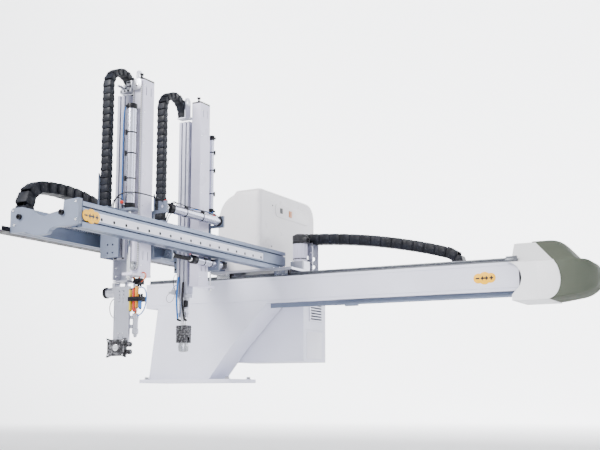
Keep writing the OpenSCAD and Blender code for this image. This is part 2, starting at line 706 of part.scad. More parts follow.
// Barrel with heads, open below for the rod
module barrel(r_bore, length) {
    r = r_bore + barrel_t;
    difference() {
        union() {
            cylinder(r = r, h = length);
            cylinder(r = r + 2, h = 26);
            translate([0, 0, length - 28]) cylinder(r = r + 2, h = 28);
        }
        translate([0, 0, 14]) cylinder(r = r_bore, h = length - 28);
        translate([0, 0, -1]) cylinder(r = r_bore * 0.42, h = 20);
    }
}
module rod(r_bore, z0, z1) {
    at(0, 0, z0) cylinder(r = r_bore * 0.42 - 0.4, h = z1 - z0);
    at(0, 0, z1 - 16) cylinder(r = r_bore - gap, h = 16);
}
module main_lift_cylinder() {
    color("silver") at(lift_x, lift_y, carriage_z1 - 10) barrel(main_bore / 2, main_cyl_len);
}
link_piston = 190;
link_travel = 150;
module link_rod(c, y0, y_head) {
    bar_y(c[0], c[1], y0, y_head + link_piston, link_rod_r);
    bar_y(c[0], c[1], y_head + link_piston - 12, y_head + link_piston, 17);
}
upper_y0 = -1089;
upper_y1 = -615;
lower_y0 = -842;
lower_y1 = -521;
module link_rods() {
    color("silver") {
        link_rod(link_upper, main_back_y, upper_y0);
        link_rod(link_lower, main_back_y + 93, lower_y0);
        difference() {
            bar_y(link_lower[0], link_lower[1], main_back_y + 106, main_back_y + 114, 20);
            bar_y(link_lower[0], link_lower[1], main_back_y + 105, main_back_y + 115, 12);
        }
        bar_y(link_lower[0], link_lower[1], main_back_y + 106, main_back_y + 114, 13);
    }
}

// White column: a folded box with keyhole slots near both ends
module column(y, length) {
    difference() {
        at(column_x, y, column_z) difference() {
            linear_extrude(length) rounded(column_w, column_d, 5);
            at(column_t, column_t, -1) cube([column_w - 2 * column_t, column_d - 2 * column_t, length + 2]);
        }
        for (z = [length - 78, 70], s = [0.28, 0.68])
            span([column_x + column_w - 5, y + column_d * s - 2.5, column_z + z],
                 [column_x + column_w + 1, y + column_d * s + 2.5, column_z + z + 44]);
    }
}
// Foot that ties the lift rod to the column's lower end
module column_foot(y, rod_x, rod_y, pad) {
    difference() {
        span([min(column_x, rod_x - pad), min(y, rod_y - pad), column_z - 12],
             [column_x + column_w, max(y + column_d, rod_y + pad), column_z]);
        at(rod_x, rod_y, column_z - 13) cylinder(r = 4, h = 14);
    }
}
pulley_r = 22;
pulley_x = column_x + column_w / 2;
pulley_low = column_z + 40;
pulley_high = column_z + main_len - 32;
belt_y = main_column_y - 12;
belt_w = 11;
belt_t = 2.6;
module main_column() {
    color("white") difference() {
        column(main_column_y, main_len);
        for (z = [pulley_low, pulley_high])
            bar_y(pulley_x, z, main_column_y - 1, main_column_y + column_t + 1, 6 + fit);
    }
    color("white") column_foot(main_column_y, lift_x, lift_y, 16);
}
module column_cap(y, length) {
    at(column_x, y, column_z + length) {
        difference() {
            linear_extrude(8) rounded(column_w, column_d, 5);
            at(18, 70, -1) cylinder(r = 5, h = 20);
        }
        at(30, 24, 8) {
            cylinder(r = 7, h = 12);
            at(0, 0, 12) cylinder(r = 4, h = 10);
            at(0, 0, 22) cylinder(r = 10, h = 8);
        }
    }
}
module main_column_cap() { color("dimgray") column_cap(main_column_y, main_len); }
main_rod_top = carriage_z1 - 10 + main_cyl_len - 16;
module main_lift_rod() {
    color("silver") at(lift_x, lift_y, 0) difference() {
        rod(main_bore / 2, column_z, main_rod_top);
        at(0, 0, column_z - 1) cylinder(r = 4, h = 30);
    }
}

// Bracket with a rounded top that takes the end of the arm chain
module chain_end_bracket(y, column_y, foot, top) {
    x0 = arm_chain_x + arm_chain_w + gap;
    color("silver") difference() {
        union() {
            extrude_x(x0, x0 + 6) {
                translate([y, top - 40]) square([50, 16]);
                translate([y + 25, top - 25]) circle(25);
                translate([y, foot]) square([50, top - foot - 24]);
            }
            span([x0, y + 20, foot], [column_x, max(y + 50, column_y + 30), foot + 6]);
            span([arm_chain_x, y, foot], [x0 + 6, y + 50, foot + 6]);
        }
        extrude_x(x0 - 1, x0 + 7) translate([y + 25, top - 25]) circle(9);
    }
}
main_bracket_y = -1187;
sub_bracket_y = -752;
module main_chain_bracket() {
    chain_end_bracket(main_bracket_y, main_column_y, column_z + main_len - 70, column_z + main_len + 80);
}
module sub_chain_bracket() {
    chain_end_bracket(sub_bracket_y, sub_column_y, column_z + sub_len - 83, column_z + sub_len + 37);
}

// Toothed belt round two pulleys on the column's near face
module belt_outline(r) {
    translate([pulley_x, pulley_low]) circle(r);
    translate([pulley_x, pulley_high]) circle(r);
    translate([pulley_x - r, pulley_low]) square([2 * r, pulley_high - pulley_low]);
}
module main_belt() {
    color("gainsboro") extrude_y(belt_y, belt_y + belt_w) difference() {
        belt_outline(pulley_r + gap + belt_t);
        belt_outline(pulley_r + gap);
    }
}
module pulley(z) {
    color("silver") {
        difference() {
            bar_y(pulley_x, z, belt_y - 1, belt_y + belt_w + 0.6, pulley_r);
            for (a = [0:24:359]) translate([pulley_x, 0, z]) rotate([0, a, 0])
                bar_y(pulley_r + 0.4, 0, belt_y - 2, belt_y + belt_w + 2, 1.6);
        }
        bar_y(pulley_x, z, belt_y - 2, main_column_y + column_t + 8, 6);
    }
}
module main_top_pulley() { pulley(pulley_high); }
module main_bottom_pulley() { pulley(pulley_low); }

// Extruded ram with slots, guided on the column's side
module ram_outline() {
    difference() {
        square([ram_w, ram_d]);
        for (x = [ram_w * 0.3, ram_w * 0.72]) translate([x, 0]) {
            translate([-4, -1]) square([8, 8]);
            translate([-7, 6]) square([14, 5]);
        }
        translate([-1, ram_d / 2 - 4]) square([9, 8]);
        translate([12, 18]) square([ram_w - 24, ram_d - 30]);
    }
}
module ram(y, z0, z1) {
    difference() {
        at(ram_x, y, z0) linear_extrude(z1 - z0) ram_outline();
        for (z = [z0 + 60:88:z1 - 60]) bar_y(ram_x + ram_w - 6, z, y - 1, y + 6, 3);
    }
    // Guide shoes that face the column
    for (z = [z1 - 300, z1 - 100])
        span([ram_x + ram_w, y + ram_d - 26, z], [column_x - gap, y + ram_d - 4, z + 70]);
}
main_ram_z0 = 600;
main_ram_z1 = 1430;
module main_ram() { color("lightsteelblue") ram(main_ram_y, main_ram_z0, main_ram_z1); }
sub_ram_z0 = 470;
sub_ram_z1 = 1424;
module sub_ram() { color("lightsteelblue") ram(sub_ram_y, sub_ram_z0, sub_ram_z1); }

// Wrist

hinge_y = -1240;
hinge_z = 432;
pin_r = 8;
wrist_x0 = ram_x + 25;
wrist_x1 = ram_x + 87;
module wrist_bracket() {
    neck_y = hinge_y + 28;
    color("silver") difference() {
        union() {
            span([ram_x - 3, main_ram_y - 2, main_ram_z0 - 10], [column_x - 6, neck_y, main_ram_z0]);
            span([ram_x - 3, neck_y - 12, 478], [column_x - 6, neck_y, main_ram_z0 - 10]);
            span([ram_x - 3, main_ram_y - 2, 490], [ram_x + 3, neck_y, main_ram_z0 - 10]);
            span([ram_x + 3, main_ram_y - 2, 478], [wrist_x1 + 2, neck_y + 16, 486]);
            for (x = [wrist_x0, wrist_x1 - 10]) extrude_x(x, x + 10) {
                translate([hinge_y, hinge_z]) circle(18);
                translate([hinge_y, hinge_z - 18]) square([44, 36]);
                translate([neck_y, hinge_z - 18]) square([16, 486 - hinge_z + 18]);
            }
        }
        bar_x(ram_x - 15, ram_x + 115, hinge_y, hinge_z, pin_r + fit);
        for (z = [510, 550]) bar_x(ram_x - 10, ram_x + 10, main_ram_y + 20, z, 5);
    }
}
// Rotary actuator at the hinge's left end, with its end cap
module flip_actuator() {
    color("silver") difference() {
        union() {
            bar_x(ram_x - 67, ram_x + 7, hinge_y, hinge_z, 24);
            bar_x(ram_x - 75, ram_x - 59, hinge_y, hinge_z, 28);
            span([ram_x - 15, hinge_y - 22, hinge_z + 10], [ram_x + 3, hinge_y + 22, 478 - gap]);
        }
        bar_x(ram_x - 15, ram_x + 8, hinge_y, hinge_z, pin_r + fit);
    }
}
// Fittings and valves beside the wrist
module valve_manifold() {
    x = wrist_x1 + 2;
    color("dimgray") {
        span([x + gap, -1230, 477], [x + 20, -1206, 494]);
        span([x + 16, -1236, 468], [x + 46, -1200, 498]);
        for (d = [24, 38]) at(x + d, -1218, 458) cylinder(r = 5, h = 20);
        for (d = [24, 37]) bar_y(x + d, 484, -1252, -1220, 4.5);
    }
}
arm_face_y = hinge_y - 35;
module flip_arm() {
    z1 = hinge_z + 24;
    z0 = z1 - flip_len;
    hole_x = [ram_x + 43, ram_x + 69];
    color("silver") difference() {
        union() {
            span([ram_x + 9, arm_face_y, z0], [wrist_x1 + 16, arm_face_y + 12, z1]);
            for (x = [ram_x + 10, wrist_x1 + gap]) extrude_x(x, x + 14) {
                translate([hinge_y, hinge_z]) circle(18);
                translate([arm_face_y, hinge_z - 18]) square([hinge_y - arm_face_y, 36]);
            }
            span([ram_x + 19, arm_face_y + 12, z0], [ram_x + 93, arm_face_y + 24, z0 + 150]);
            bar_x(ram_x - 10, wrist_x1 + 20, hinge_y, hinge_z, pin_r);
        }
        for (i = [0:3], x = hole_x) bar_y(x, z1 - 22 - i * 18, arm_face_y - 1, arm_face_y + 13, 4.2);
        for (x = hole_x) bar_y(x, z0 + 22, arm_face_y - 1, arm_face_y + 39, 3.3);
    }
}
// Quick-change chuck with four corner ears and a mounting pattern on its face
chuck_x = ram_x + 55;
chuck_y = arm_face_y - 36;
chuck_z = 155;
chuck_h = 94;
chuck_bolt = 66;
chuck_hole_r = 3.3;
module chuck_outline() {
    w = chuck_w / 2;
    h = chuck_h / 2;
    polygon(concat([[-w, -h], [-w + 22, -h + 7]], [[w - 22, -h + 7], [w, -h], [w - 7, -h + 22]],
        [[w - 7, h - 22], [w, h], [w - 22, h - 7]],
        [[-w + 22, h - 7], [-w, h], [-w + 7, h - 22], [-w + 7, -h + 22]]));
}
module gripper_chuck() {
    color("dimgray") difference() {
        union() {
            translate([chuck_x, 0, chuck_z]) extrude_y(chuck_y, chuck_y + 14) chuck_outline();
            span([chuck_x - 42, chuck_y + 14, chuck_z - 34], [chuck_x + 42, arm_face_y, chuck_z + 36]);
            for (z = [-20, 16]) bar_x(chuck_x + 42, chuck_x + 74, chuck_y + 25, chuck_z + z, 10.5);
        }
        for (x = [-1, 1], z = [-1, 1])
            bar_y(chuck_x + x * chuck_bolt / 2, chuck_z + z * chuck_bolt / 2,
                  chuck_y - 1, chuck_y + 15, chuck_hole_r);
    }
}

// Short air hoses: straight tubes with a ball at every joint
module hose(p, r) {
    for (i = [1:len(p) - 1]) let (d = p[i] - p[i - 1]) {
        translate(p[i - 1]) rotate([0, acos(d[2] / norm(d)), atan2(d[1], d[0])]) cylinder(r = r, h = norm(d));
        if (i < len(p) - 1) translate(p[i]) sphere(r * 1.03);
    }
}
function bow(a, b, out, n) = [for (i = [0:n]) let (t = i / n) a + (b - a) * t + out * sin(180 * t)];
module wrist_hoses() {
    color("red") for (i = [0, 1])
        hose(bow([ram_x + 105 + i * 8, -1196.6, 478], [ram_x + 31 + i * 12, -1210.6, 604],
                 [-50, 20, 0], 8), 3);
}
module sub_hoses() {
    color("royalblue") for (i = [0:1])
        hose(bow([ram_x + 11 + i * 42, grip_y0 - 3.3, 330],
                 [ram_x + 15 + i * 30, sub_ram_y - 3.3, 560 - i * 30],
                 [0, -14, 0], 8), 3);
}

// Sub arm

module sub_carriage() {
    y1 = sub_back_y;
    color("lightslategray") difference() {
        union() {
            carriage_back(y1);
            span([side_x, sub_chain_y - 22, carriage_z0 + 120], [side_x + 10, y1, carriage_z1]);
            span([side_x, sub_chain_y - 22, carriage_z1 - 22],
                 [arm_chain_x + arm_chain_w + 5, sub_chain_y + 22, carriage_z1 - 10]);
            span([arm_chain_x - 4, sub_chain_y - 20, carriage_z1 - 22],
                 [arm_chain_x - gap, sub_chain_y + 20, 960]);
            span([column_x + 20, y1, carriage_z1 - 20], [carriage_x1, y1 + carriage_t, 925]);
            span([column_x + 20, y1, 905], [carriage_x1, sub_lift_y + 20, 925]);
            // Lugs that carry the two link cylinders
            span([carriage_x1 - 20, y1, carriage_z1 - 15],
                 [link_upper[0] + 30, y1 + carriage_t, carriage_z1]);
            span([link_upper[0] - 32, y1, carriage_z1 - 15], [link_upper[0] + 32, y1 + carriage_t, 898]);
            span([carriage_x1 - 20, y1, carriage_z0], [link_lower[0] + 30, y1 + carriage_t, 662]);
        }
        bar_y(link_upper[0], link_upper[1], y1 - 1, y1 + carriage_t + 1, link_barrel_r + 1.5 + fit);
        bar_y(link_lower[0], link_lower[1], y1 - 1, y1 + carriage_t + 1, link_low_r + 0.3);
        at(sub_lift_x, sub_lift_y, 900) cylinder(r = 7, h = 40);
    }
}
module sub_guide_blocks() { color("gray") kick_blocks(sub_back_y); }
module sub_lift_cylinder() {
    color("silver") at(sub_lift_x, sub_lift_y, 925) barrel(sub_bore / 2, sub_cyl_len);
}
module link_cylinder(c, y0, y1, r) {
    difference() {
        union() {
            bar_y(c[0], c[1], y0, y1, r);
            bar_y(c[0], c[1], y0, y0 + 20, r + 1.5);
            bar_y(c[0], c[1], y1 - 14, y1, r + 1.5);
        }
        bar_y(c[0], c[1], y0 + 16, y0 + 16 + link_piston + 30, 17.5);
        bar_y(c[0], c[1], y0 - 1, y0 + 20, link_rod_r + 0.4);
    }
}
module link_cylinders() {
    color("silver") {
        link_cylinder(link_upper, upper_y0, upper_y1, link_barrel_r);
        link_cylinder(link_lower, lower_y0, lower_y1, link_low_r);
    }
}
module sub_column() {
    color("white") column(sub_column_y, sub_len);
    color("white") column_foot(sub_column_y, sub_lift_x, sub_lift_y, 12);
}
module sub_column_cap() { color("dimgray") column_cap(sub_column_y, sub_len); }
sub_rod_top = 925 + sub_cyl_len - 16;
module sub_lift_rod() {
    color("silver") at(sub_lift_x, sub_lift_y, 0) difference() {
        rod(sub_bore / 2, column_z, sub_rod_top);
        at(0, 0, column_z - 1) cylinder(r = 2.5, h = 30);
    }
}

// Sprue gripper under the sub ram: plate, body and two fingers
finger_x = ram_x + 36;
finger_z = 216;
grip_y0 = sub_ram_y + 4;
module sprue_gripper_body() {
    color("dimgray") difference() {
        union() {
            span([finger_x - 28, grip_y0, 299], [finger_x + 28, grip_y0 + 30, sub_ram_z0]);
            span([finger_x - 33, grip_y0 - 6, 205], [finger_x + 33, grip_y0 + 42, 299]);
        }
        span([finger_x - 31, grip_y0 + 8, 200], [finger_x + 31, grip_y0 + 28, 236]);
        for (x = [-14, 14]) bar_y(finger_x + x, finger_z + 6, grip_y0 - 7, grip_y0 + 50, 3);
        for (x = [-9, 9]) at(finger_x + x, grip_y0 - 1, 316) rotate([-90, 0, 0]) cylinder(r = 3, h = 40);
    }
}
module finger(s) {
    x = finger_x + s * 14;
    color("silver") difference() {
        union() {
            translate([x, 0, 0]) extrude_y(grip_y0 + 9, grip_y0 + 27) mirror([s < 0 ? 1 : 0, 0]) polygon([
                [-8, finger_z + 14], [8, finger_z + 14], [10, finger_z - 8], [14, finger_z - 30],
                [10, 160], [-6, 156], [-10, 160], [-2, finger_z - 26], [-8, finger_z - 8]]);
            bar_y(x, finger_z + 6, grip_y0 - 5, grip_y0 + 41, 3 - fit);
        }
    }
}
module gripper_finger_left() { finger(-1); }
module gripper_finger_right() { finger(1); }

base_flange();
pedestal();
traverse_beam();
traverse_guide_rails();
traverse_gear_rack();
beam_lip_rail();
chain_tray();
end_cover_white();
end_cover_grey();
control_box();
control_box_vents();
traverse_cable_chain();
carriage_plate();
traverse_guide_blocks();
carriage_cover();
cover_screws();
front_kick_rail();
rear_kick_rail();
kick_guide_rails();
rail_cover_strip();
kick_end_plate();
kick_chain_tray();
kick_cable_chain();
chain_bracket();
traverse_motor();
traverse_gearbox();
traverse_pinion();
main_carriage();
main_guide_blocks();
main_lift_cylinder();
link_rods();
main_cable_chain();
main_column();
main_column_cap();
main_lift_rod();
main_chain_bracket();
main_belt();
main_top_pulley();
main_bottom_pulley();
main_ram();
wrist_bracket();
flip_actuator();
valve_manifold();
wrist_hoses();
flip_arm();
gripper_chuck();
sub_carriage();
sub_guide_blocks();
sub_lift_cylinder();
link_cylinders();
sub_cable_chain();
sub_column();
sub_column_cap();
sub_lift_rod();
sub_chain_bracket();
sub_ram();
sprue_gripper_body();
sub_hoses();
gripper_finger_left();
gripper_finger_right();
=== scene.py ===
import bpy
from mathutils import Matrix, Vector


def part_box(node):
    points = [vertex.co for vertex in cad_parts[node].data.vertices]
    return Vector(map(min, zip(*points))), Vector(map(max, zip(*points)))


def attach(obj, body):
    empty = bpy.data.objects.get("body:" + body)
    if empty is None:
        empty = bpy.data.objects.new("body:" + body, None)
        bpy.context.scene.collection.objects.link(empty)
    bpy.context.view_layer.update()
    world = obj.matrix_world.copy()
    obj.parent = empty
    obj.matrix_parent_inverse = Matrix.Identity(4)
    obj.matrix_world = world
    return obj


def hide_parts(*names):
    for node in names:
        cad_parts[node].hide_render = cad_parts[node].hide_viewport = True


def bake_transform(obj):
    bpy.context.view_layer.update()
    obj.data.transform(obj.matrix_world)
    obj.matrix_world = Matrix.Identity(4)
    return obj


bl_info = {
    "name": "Traverse Take-out Manipulator",
    "version": (1, 0, 0),
    "blender": (4, 5, 0),
    "location": "View3D > Sidebar > Manipulator",
    "description": "Dresses a take-out manipulator with its cable chains, covers, cylinders and finishes",
    "category": "Object",
}

from itertools import product
from math import cos, pi, radians, sin

import bmesh
import bpy
from bpy.props import FloatProperty, FloatVectorProperty, IntProperty, PointerProperty
from bpy.types import Operator, Panel, PropertyGroup
from mathutils import Matrix, Vector

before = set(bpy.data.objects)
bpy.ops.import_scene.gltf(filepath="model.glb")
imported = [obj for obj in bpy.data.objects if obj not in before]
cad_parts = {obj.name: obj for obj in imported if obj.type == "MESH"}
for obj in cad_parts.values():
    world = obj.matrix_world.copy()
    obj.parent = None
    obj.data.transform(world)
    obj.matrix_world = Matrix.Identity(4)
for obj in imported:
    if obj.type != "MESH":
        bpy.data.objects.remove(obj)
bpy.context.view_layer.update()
MM = 0.001
SHARP_ANGLE = 32
LEFT, RIGHT, FRONT, BACK, UP = (-1, 0, 0), (1, 0, 0), (0, -1, 0), (0, 1, 0), (0, 0, 1)


def colour_property(label, note, value):
    return FloatVectorProperty(name=label, description=note, subtype="COLOR", size=3, min=0, max=1,
        default=value)


class ManipulatorSizes(PropertyGroup):
    """Sizes of what the scene adds to the solids"""
    label_height: FloatProperty(name="Label", description="Height of a direction label", default=0.062,
        min=0.03, max=0.09, unit="LENGTH")
    inner_links: IntProperty(name="Spare links",
        description="Links that an arm chain feeds out when it is lowered", default=7, min=3, max=12)


class ManipulatorColours(PropertyGroup):
    """Colours of the finishes"""
    white_paint: colour_property("White paint", "Pedestal, beam and control box", (0.74, 0.75, 0.88))
    cover: colour_property("Cover", "Moulded white covers", (0.80, 0.78, 0.80))
    nose: colour_property("Nose", "Grey shell of the end cover", (0.094, 0.104, 0.082))
    column: colour_property("Column", "White arm columns", (0.74, 0.72, 0.88))
    anodised: colour_property("Anodised", "Extrusions, rams and plates", (0.18, 0.215, 0.30))
    cast: colour_property("Cast", "Painted carriages and end plate", (0.17, 0.20, 0.275))
    chain: colour_property("Chain", "Cable chain plastic", (0.005, 0.006, 0.010))
    label: colour_property("Label", "Direction labels", (0.98, 0.50, 0.0))


def sizes():
    return bpy.context.scene.manipulator_sizes


def colours():
    return bpy.context.scene.manipulator_colours


# Materials

class Finish:
    """One material, with helpers that add and join its nodes"""

    def __init__(self, name):
        self.material = bpy.data.materials.new(name)
        self.material.use_nodes = True
        self.tree = self.material.node_tree
        self.shader = self.tree.nodes["Principled BSDF"]
        self.place = self.add("TexCoord").outputs["Object"]

    def add(self, kind, **values):
        item = self.tree.nodes.new("ShaderNode" + kind)
        for key, value in values.items():
            setattr(item, key, value)
        return item

    def join(self, source, target):
        self.tree.links.new(source, target)

    def set(self, **values):
        for key, value in values.items():
            self.shader.inputs[key.replace("_", " ")].default_value = value

    def noise(self, scale, detail=3.0, stretch=(1, 1, 1)):
        mapping = self.add("Mapping")
        mapping.inputs["Scale"].default_value = stretch
        self.join(self.place, mapping.inputs["Vector"])
        item = self.add("TexNoise")
        item.inputs["Scale"].default_value = scale
        item.inputs["Detail"].default_value = detail
        self.join(mapping.outputs["Vector"], item.inputs["Vector"])
        return item.outputs["Fac"]

    def span(self, value, low, high, start=0.35, stop=0.65):
        item = self.add("MapRange")
        item.inputs["From Min"].default_value = start
        item.inputs["From Max"].default_value = stop
        item.inputs["To Min"].default_value = low
        item.inputs["To Max"].default_value = high
        self.join(value, item.inputs["Value"])
        return item.outputs["Result"]

    def mix(self, factor, one, two):
        item = self.add("Mix", data_type="RGBA")
        self.join(factor, item.inputs["Factor"])
        for socket, value in ((item.inputs["A"], one), (item.inputs["B"], two)):
            if isinstance(value, bpy.types.NodeSocket):
                self.join(value, socket)
            else:
                socket.default_value = (*value, 1.0)
        return item.outputs["Result"]

    def relief(self, height, strength, distance, edge=0.0):
        item = self.add("Bump")
        item.inputs["Strength"].default_value = strength
        item.inputs["Distance"].default_value = distance
        self.join(height, item.inputs["Height"])
        if edge:
            soft = self.add("Bevel", samples=4)
            soft.inputs["Radius"].default_value = edge
            self.join(soft.outputs["Normal"], item.inputs["Normal"])
        self.join(item.outputs["Normal"], self.shader.inputs["Normal"])

    def wear(self, colour, other, amount=0.5):
        """Worn edges, from how far the bevelled normal leans away from the true one"""
        soft = self.add("Bevel", samples=4)
        soft.inputs["Radius"].default_value = 0.002
        flat = self.add("NewGeometry")
        dot = self.add("VectorMath", operation="DOT_PRODUCT")
        self.join(soft.outputs["Normal"], dot.inputs[0])
        self.join(flat.outputs["Normal"], dot.inputs[1])
        edge = self.span(dot.outputs["Value"], amount, 0.0, 0.80, 0.97)
        broken = self.add("Math", operation="MULTIPLY")
        self.join(edge, broken.inputs[0])
        self.join(self.span(self.noise(60, 4), 0, 1, 0.42, 0.6), broken.inputs[1])
        return self.mix(broken.outputs["Value"], colour, other)


def shade(colour, factor):
    return tuple(min(1.0, c * factor) for c in colour)


def painted(name, colour, rough=0.38, grain=420, dirt=0.93, edge=0.0015, worn=0.35, gloss=0.4):
    f = Finish(name)
    base = f.mix(f.span(f.noise(3.2, 4), 0, 1), shade(colour, dirt), colour)
    f.join(f.wear(base, shade(colour, 0.62), worn), f.shader.inputs["Base Color"])
    f.join(f.span(f.noise(9, 5), rough - 0.06, rough + 0.1), f.shader.inputs["Roughness"])
    f.set(Specular_IOR_Level=gloss)
    f.relief(f.noise(grain, 2), 0.08, 0.0004, edge)
    return f.material


def metal(name, colour, rough=0.3, along=(1, 1, 1), grain=300, edge=0.001, metallic=1.0, dirt=0.85,
        relief=0.06, stain=0.3, vary=0.1):
    f = Finish(name)
    lines = f.noise(grain, 3, along)
    base = f.mix(f.span(lines, 0, 1, 0.3, 0.7), shade(colour, dirt), colour)
    stained = f.mix(f.span(f.noise(7, 5), 0, stain, 0.45, 0.75), base, shade(colour, 0.6))
    f.join(stained, f.shader.inputs["Base Color"])
    f.join(f.span(lines, rough - vary * 0.8, rough + vary * 1.2, 0.3, 0.7), f.shader.inputs["Roughness"])
    f.set(Metallic=metallic)
    f.relief(lines, relief, 0.0003, edge)
    return f.material


def plastic(name, colour, rough=0.45, grain=700, bump=0.2, dust=(0.25, 0.25, 0.28), dusty=0.06, edge=0.0008,
            gloss=0.32):
    f = Finish(name)
    f.join(f.mix(f.span(f.noise(14, 6), 0, dusty, 0.4, 0.7), colour, dust), f.shader.inputs["Base Color"])
    f.join(f.span(f.noise(25, 4), rough - 0.08, rough + 0.12), f.shader.inputs["Roughness"])
    f.set(Specular_IOR_Level=gloss)
    f.relief(f.noise(grain, 2), bump, 0.0003, edge)
    return f.material


def ribbed(name, colour, pitch, rough=0.6):
    """Rubber with teeth across the belt, as bands along Z"""
    f = Finish(name)
    wave = f.add("TexWave", bands_direction="Z")
    wave.inputs["Scale"].default_value = 1 / pitch / 3.2
    f.join(f.place, wave.inputs["Vector"])
    f.join(f.mix(wave.outputs["Fac"], shade(colour, 0.6), colour), f.shader.inputs["Base Color"])
    f.join(f.span(f.noise(40), rough - 0.1, rough + 0.1), f.shader.inputs["Roughness"])
    f.relief(wave.outputs["Fac"], 0.8, 0.001)
    return f.material


def pitted(name, colour, rough=0.4):
    """Dark etched metal of the chuck plate, with bright scratches"""
    f = Finish(name)
    spots = f.noise(95, 6)
    base = f.mix(f.span(spots, 0, 1, 0.48, 0.66), colour, shade(colour, 7))
    f.join(f.wear(base, (0.5, 0.5, 0.52), 0.7), f.shader.inputs["Base Color"])
    f.join(f.span(spots, rough - 0.12, rough + 0.25), f.shader.inputs["Roughness"])
    f.set(Metallic=0.8)
    f.relief(spots, 0.5, 0.0015, 0.001)
    return f.material


MATERIALS = {}


def make_materials():
    c = colours()
    MATERIALS.update(
        white_paint=painted("white_paint", c.white_paint[:]),
        cover=painted("cover_moulding", c.cover[:], 0.32, 260, 0.95, 0.003, 0.15),
        nose=painted("nose_moulding", c.nose[:], 0.6, 260, 0.92, 0.003, 0.15, 0.04),
        column=painted("column_paint", c.column[:], 0.3, 500, 0.94),
        hood=painted("hood_moulding", (0.90, 0.90, 0.92), 0.4, 260, 0.96, 0.003, 0.1),
        cast=painted("cast_paint", c.cast[:], 0.42, 220, 0.85, 0.002, 0.5),
        rail=metal("rail_anodised", c.anodised[:], 0.36, (60, 0.6, 60), 20, 0.0015, 0.7),
        ram=metal("ram_anodised", (0.52, 0.53, 0.64), 0.3, (60, 60, 0.6), 20, 0.001, 0.45),
        plate=metal("plate_milled", (0.50, 0.51, 0.58), 0.3, (1, 1, 8), 60, 0.001, 0.8, 0.92, 0.01, 0.12,
                    0.03),
        steel=metal("ground_steel", (0.46, 0.47, 0.50), 0.22, (1, 30, 1), 40, 0.0008),
        guide=metal("guide_steel", (0.16, 0.17, 0.19), 0.3, (1, 30, 30), 30, 0.0008, 0.9),
        rod=metal("rod_chrome", (0.80, 0.81, 0.84), 0.1, (20, 20, 20), 60, 0.0005, 1.0, 0.95),
        barrel=metal("barrel_drawn", (0.50, 0.51, 0.62), 0.24, (1, 1, 1), 30, 0.001, 0.85, 0.95, 0.01, 0.1,
                     0.03),
        black=plastic("black_fitting", (0.006, 0.006, 0.009), 0.36, dusty=0.02, gloss=0.2),
        motor=painted("motor_enamel", (0.016, 0.016, 0.020), 0.36, 300, 0.8, 0.001, 0.3),
        chain=plastic("chain_plastic", c.chain[:], 0.42, 500, 0.15, (0.03, 0.036, 0.06), 0.22, 0.001, 0.17),
        strip=plastic("strip_white", (0.78, 0.78, 0.88), 0.4, 300, 0.08, (0.6, 0.6, 0.6), 0.1),
        # Near-black for the cover strip's screw heads: painted shade of their countersunk holes
        hole=plastic("hole_dark", (0.02, 0.02, 0.025), 0.7),
        belt=ribbed("belt_teeth", (0.55, 0.55, 0.58), 0.010),
        chuck=pitted("chuck_etched", (0.035, 0.035, 0.038)),
        label=plastic("label_yellow", c.label[:], 0.3, 900, 0.05, (0.9, 0.42, 0.0), 0.1),
        ink=plastic("label_ink", (0.012, 0.012, 0.014), 0.35, 900, 0.05),
        orange=plastic("tile_orange", (0.46, 0.13, 0.006), 0.3, 900, 0.05, (0.3, 0.08, 0.01), 0.3),
        red=plastic("hose_red", (0.55, 0.03, 0.02), 0.3, 900, 0.05, (0.3, 0.02, 0.02), 0.2),
        blue=plastic("hose_blue", (0.03, 0.16, 0.50), 0.3, 900, 0.05, (0.02, 0.08, 0.3), 0.2),
        yellow=plastic("hose_yellow", (0.72, 0.52, 0.03), 0.3, 900, 0.05, (0.4, 0.3, 0.03), 0.2),
        amber=plastic("hose_amber", (0.70, 0.30, 0.02), 0.3, 900, 0.05, (0.4, 0.2, 0.02), 0.2),
        hose=plastic("hose_black", (0.006, 0.006, 0.009), 0.35, dusty=0.02, gloss=0.25),
    )


NODE_FINISH = {
    "white_paint": ("base_flange", "pedestal", "traverse_beam", "control_box", "control_box_vents"),
    "plate": ("chain_tray", "carriage_plate", "chain_bracket", "main_chain_bracket", "traverse_gearbox",
              "sub_chain_bracket", "wrist_bracket", "flip_arm", "flip_actuator"),
    "cover": ("carriage_cover",),
    "hood": ("end_cover_white",),
    "nose": ("end_cover_grey",),
    "column": ("main_column", "sub_column", "traverse_motor"),
    "cast": ("kick_end_plate", "main_carriage", "sub_carriage"),
    "rail": ("front_kick_rail", "rear_kick_rail", "beam_lip_rail"),
    "ram": ("main_ram", "sub_ram"),
    "guide": ("traverse_guide_rails", "traverse_gear_rack", "traverse_pinion"),
    "steel": ("kick_guide_rails", "traverse_guide_blocks", "main_guide_blocks", "sub_guide_blocks",
              "main_top_pulley", "main_bottom_pulley", "gripper_finger_left", "gripper_finger_right"),
    "rod": ("main_lift_rod", "sub_lift_rod", "link_rods"),
    "barrel": ("main_lift_cylinder", "sub_lift_cylinder", "link_cylinders"),
    "motor": ("sprue_gripper_body",),
    "black": ("main_column_cap", "sub_column_cap", "valve_manifold", "cover_screws", "kick_chain_tray"),
    "chain": ("traverse_cable_chain", "kick_cable_chain", "main_cable_chain", "sub_cable_chain"),
    "strip": ("rail_cover_strip",),
    "belt": ("main_belt",),
    "chuck": ("gripper_chuck",),
    "red": ("wrist_hoses",),
    "blue": ("sub_hoses",),
}


# Mesh building

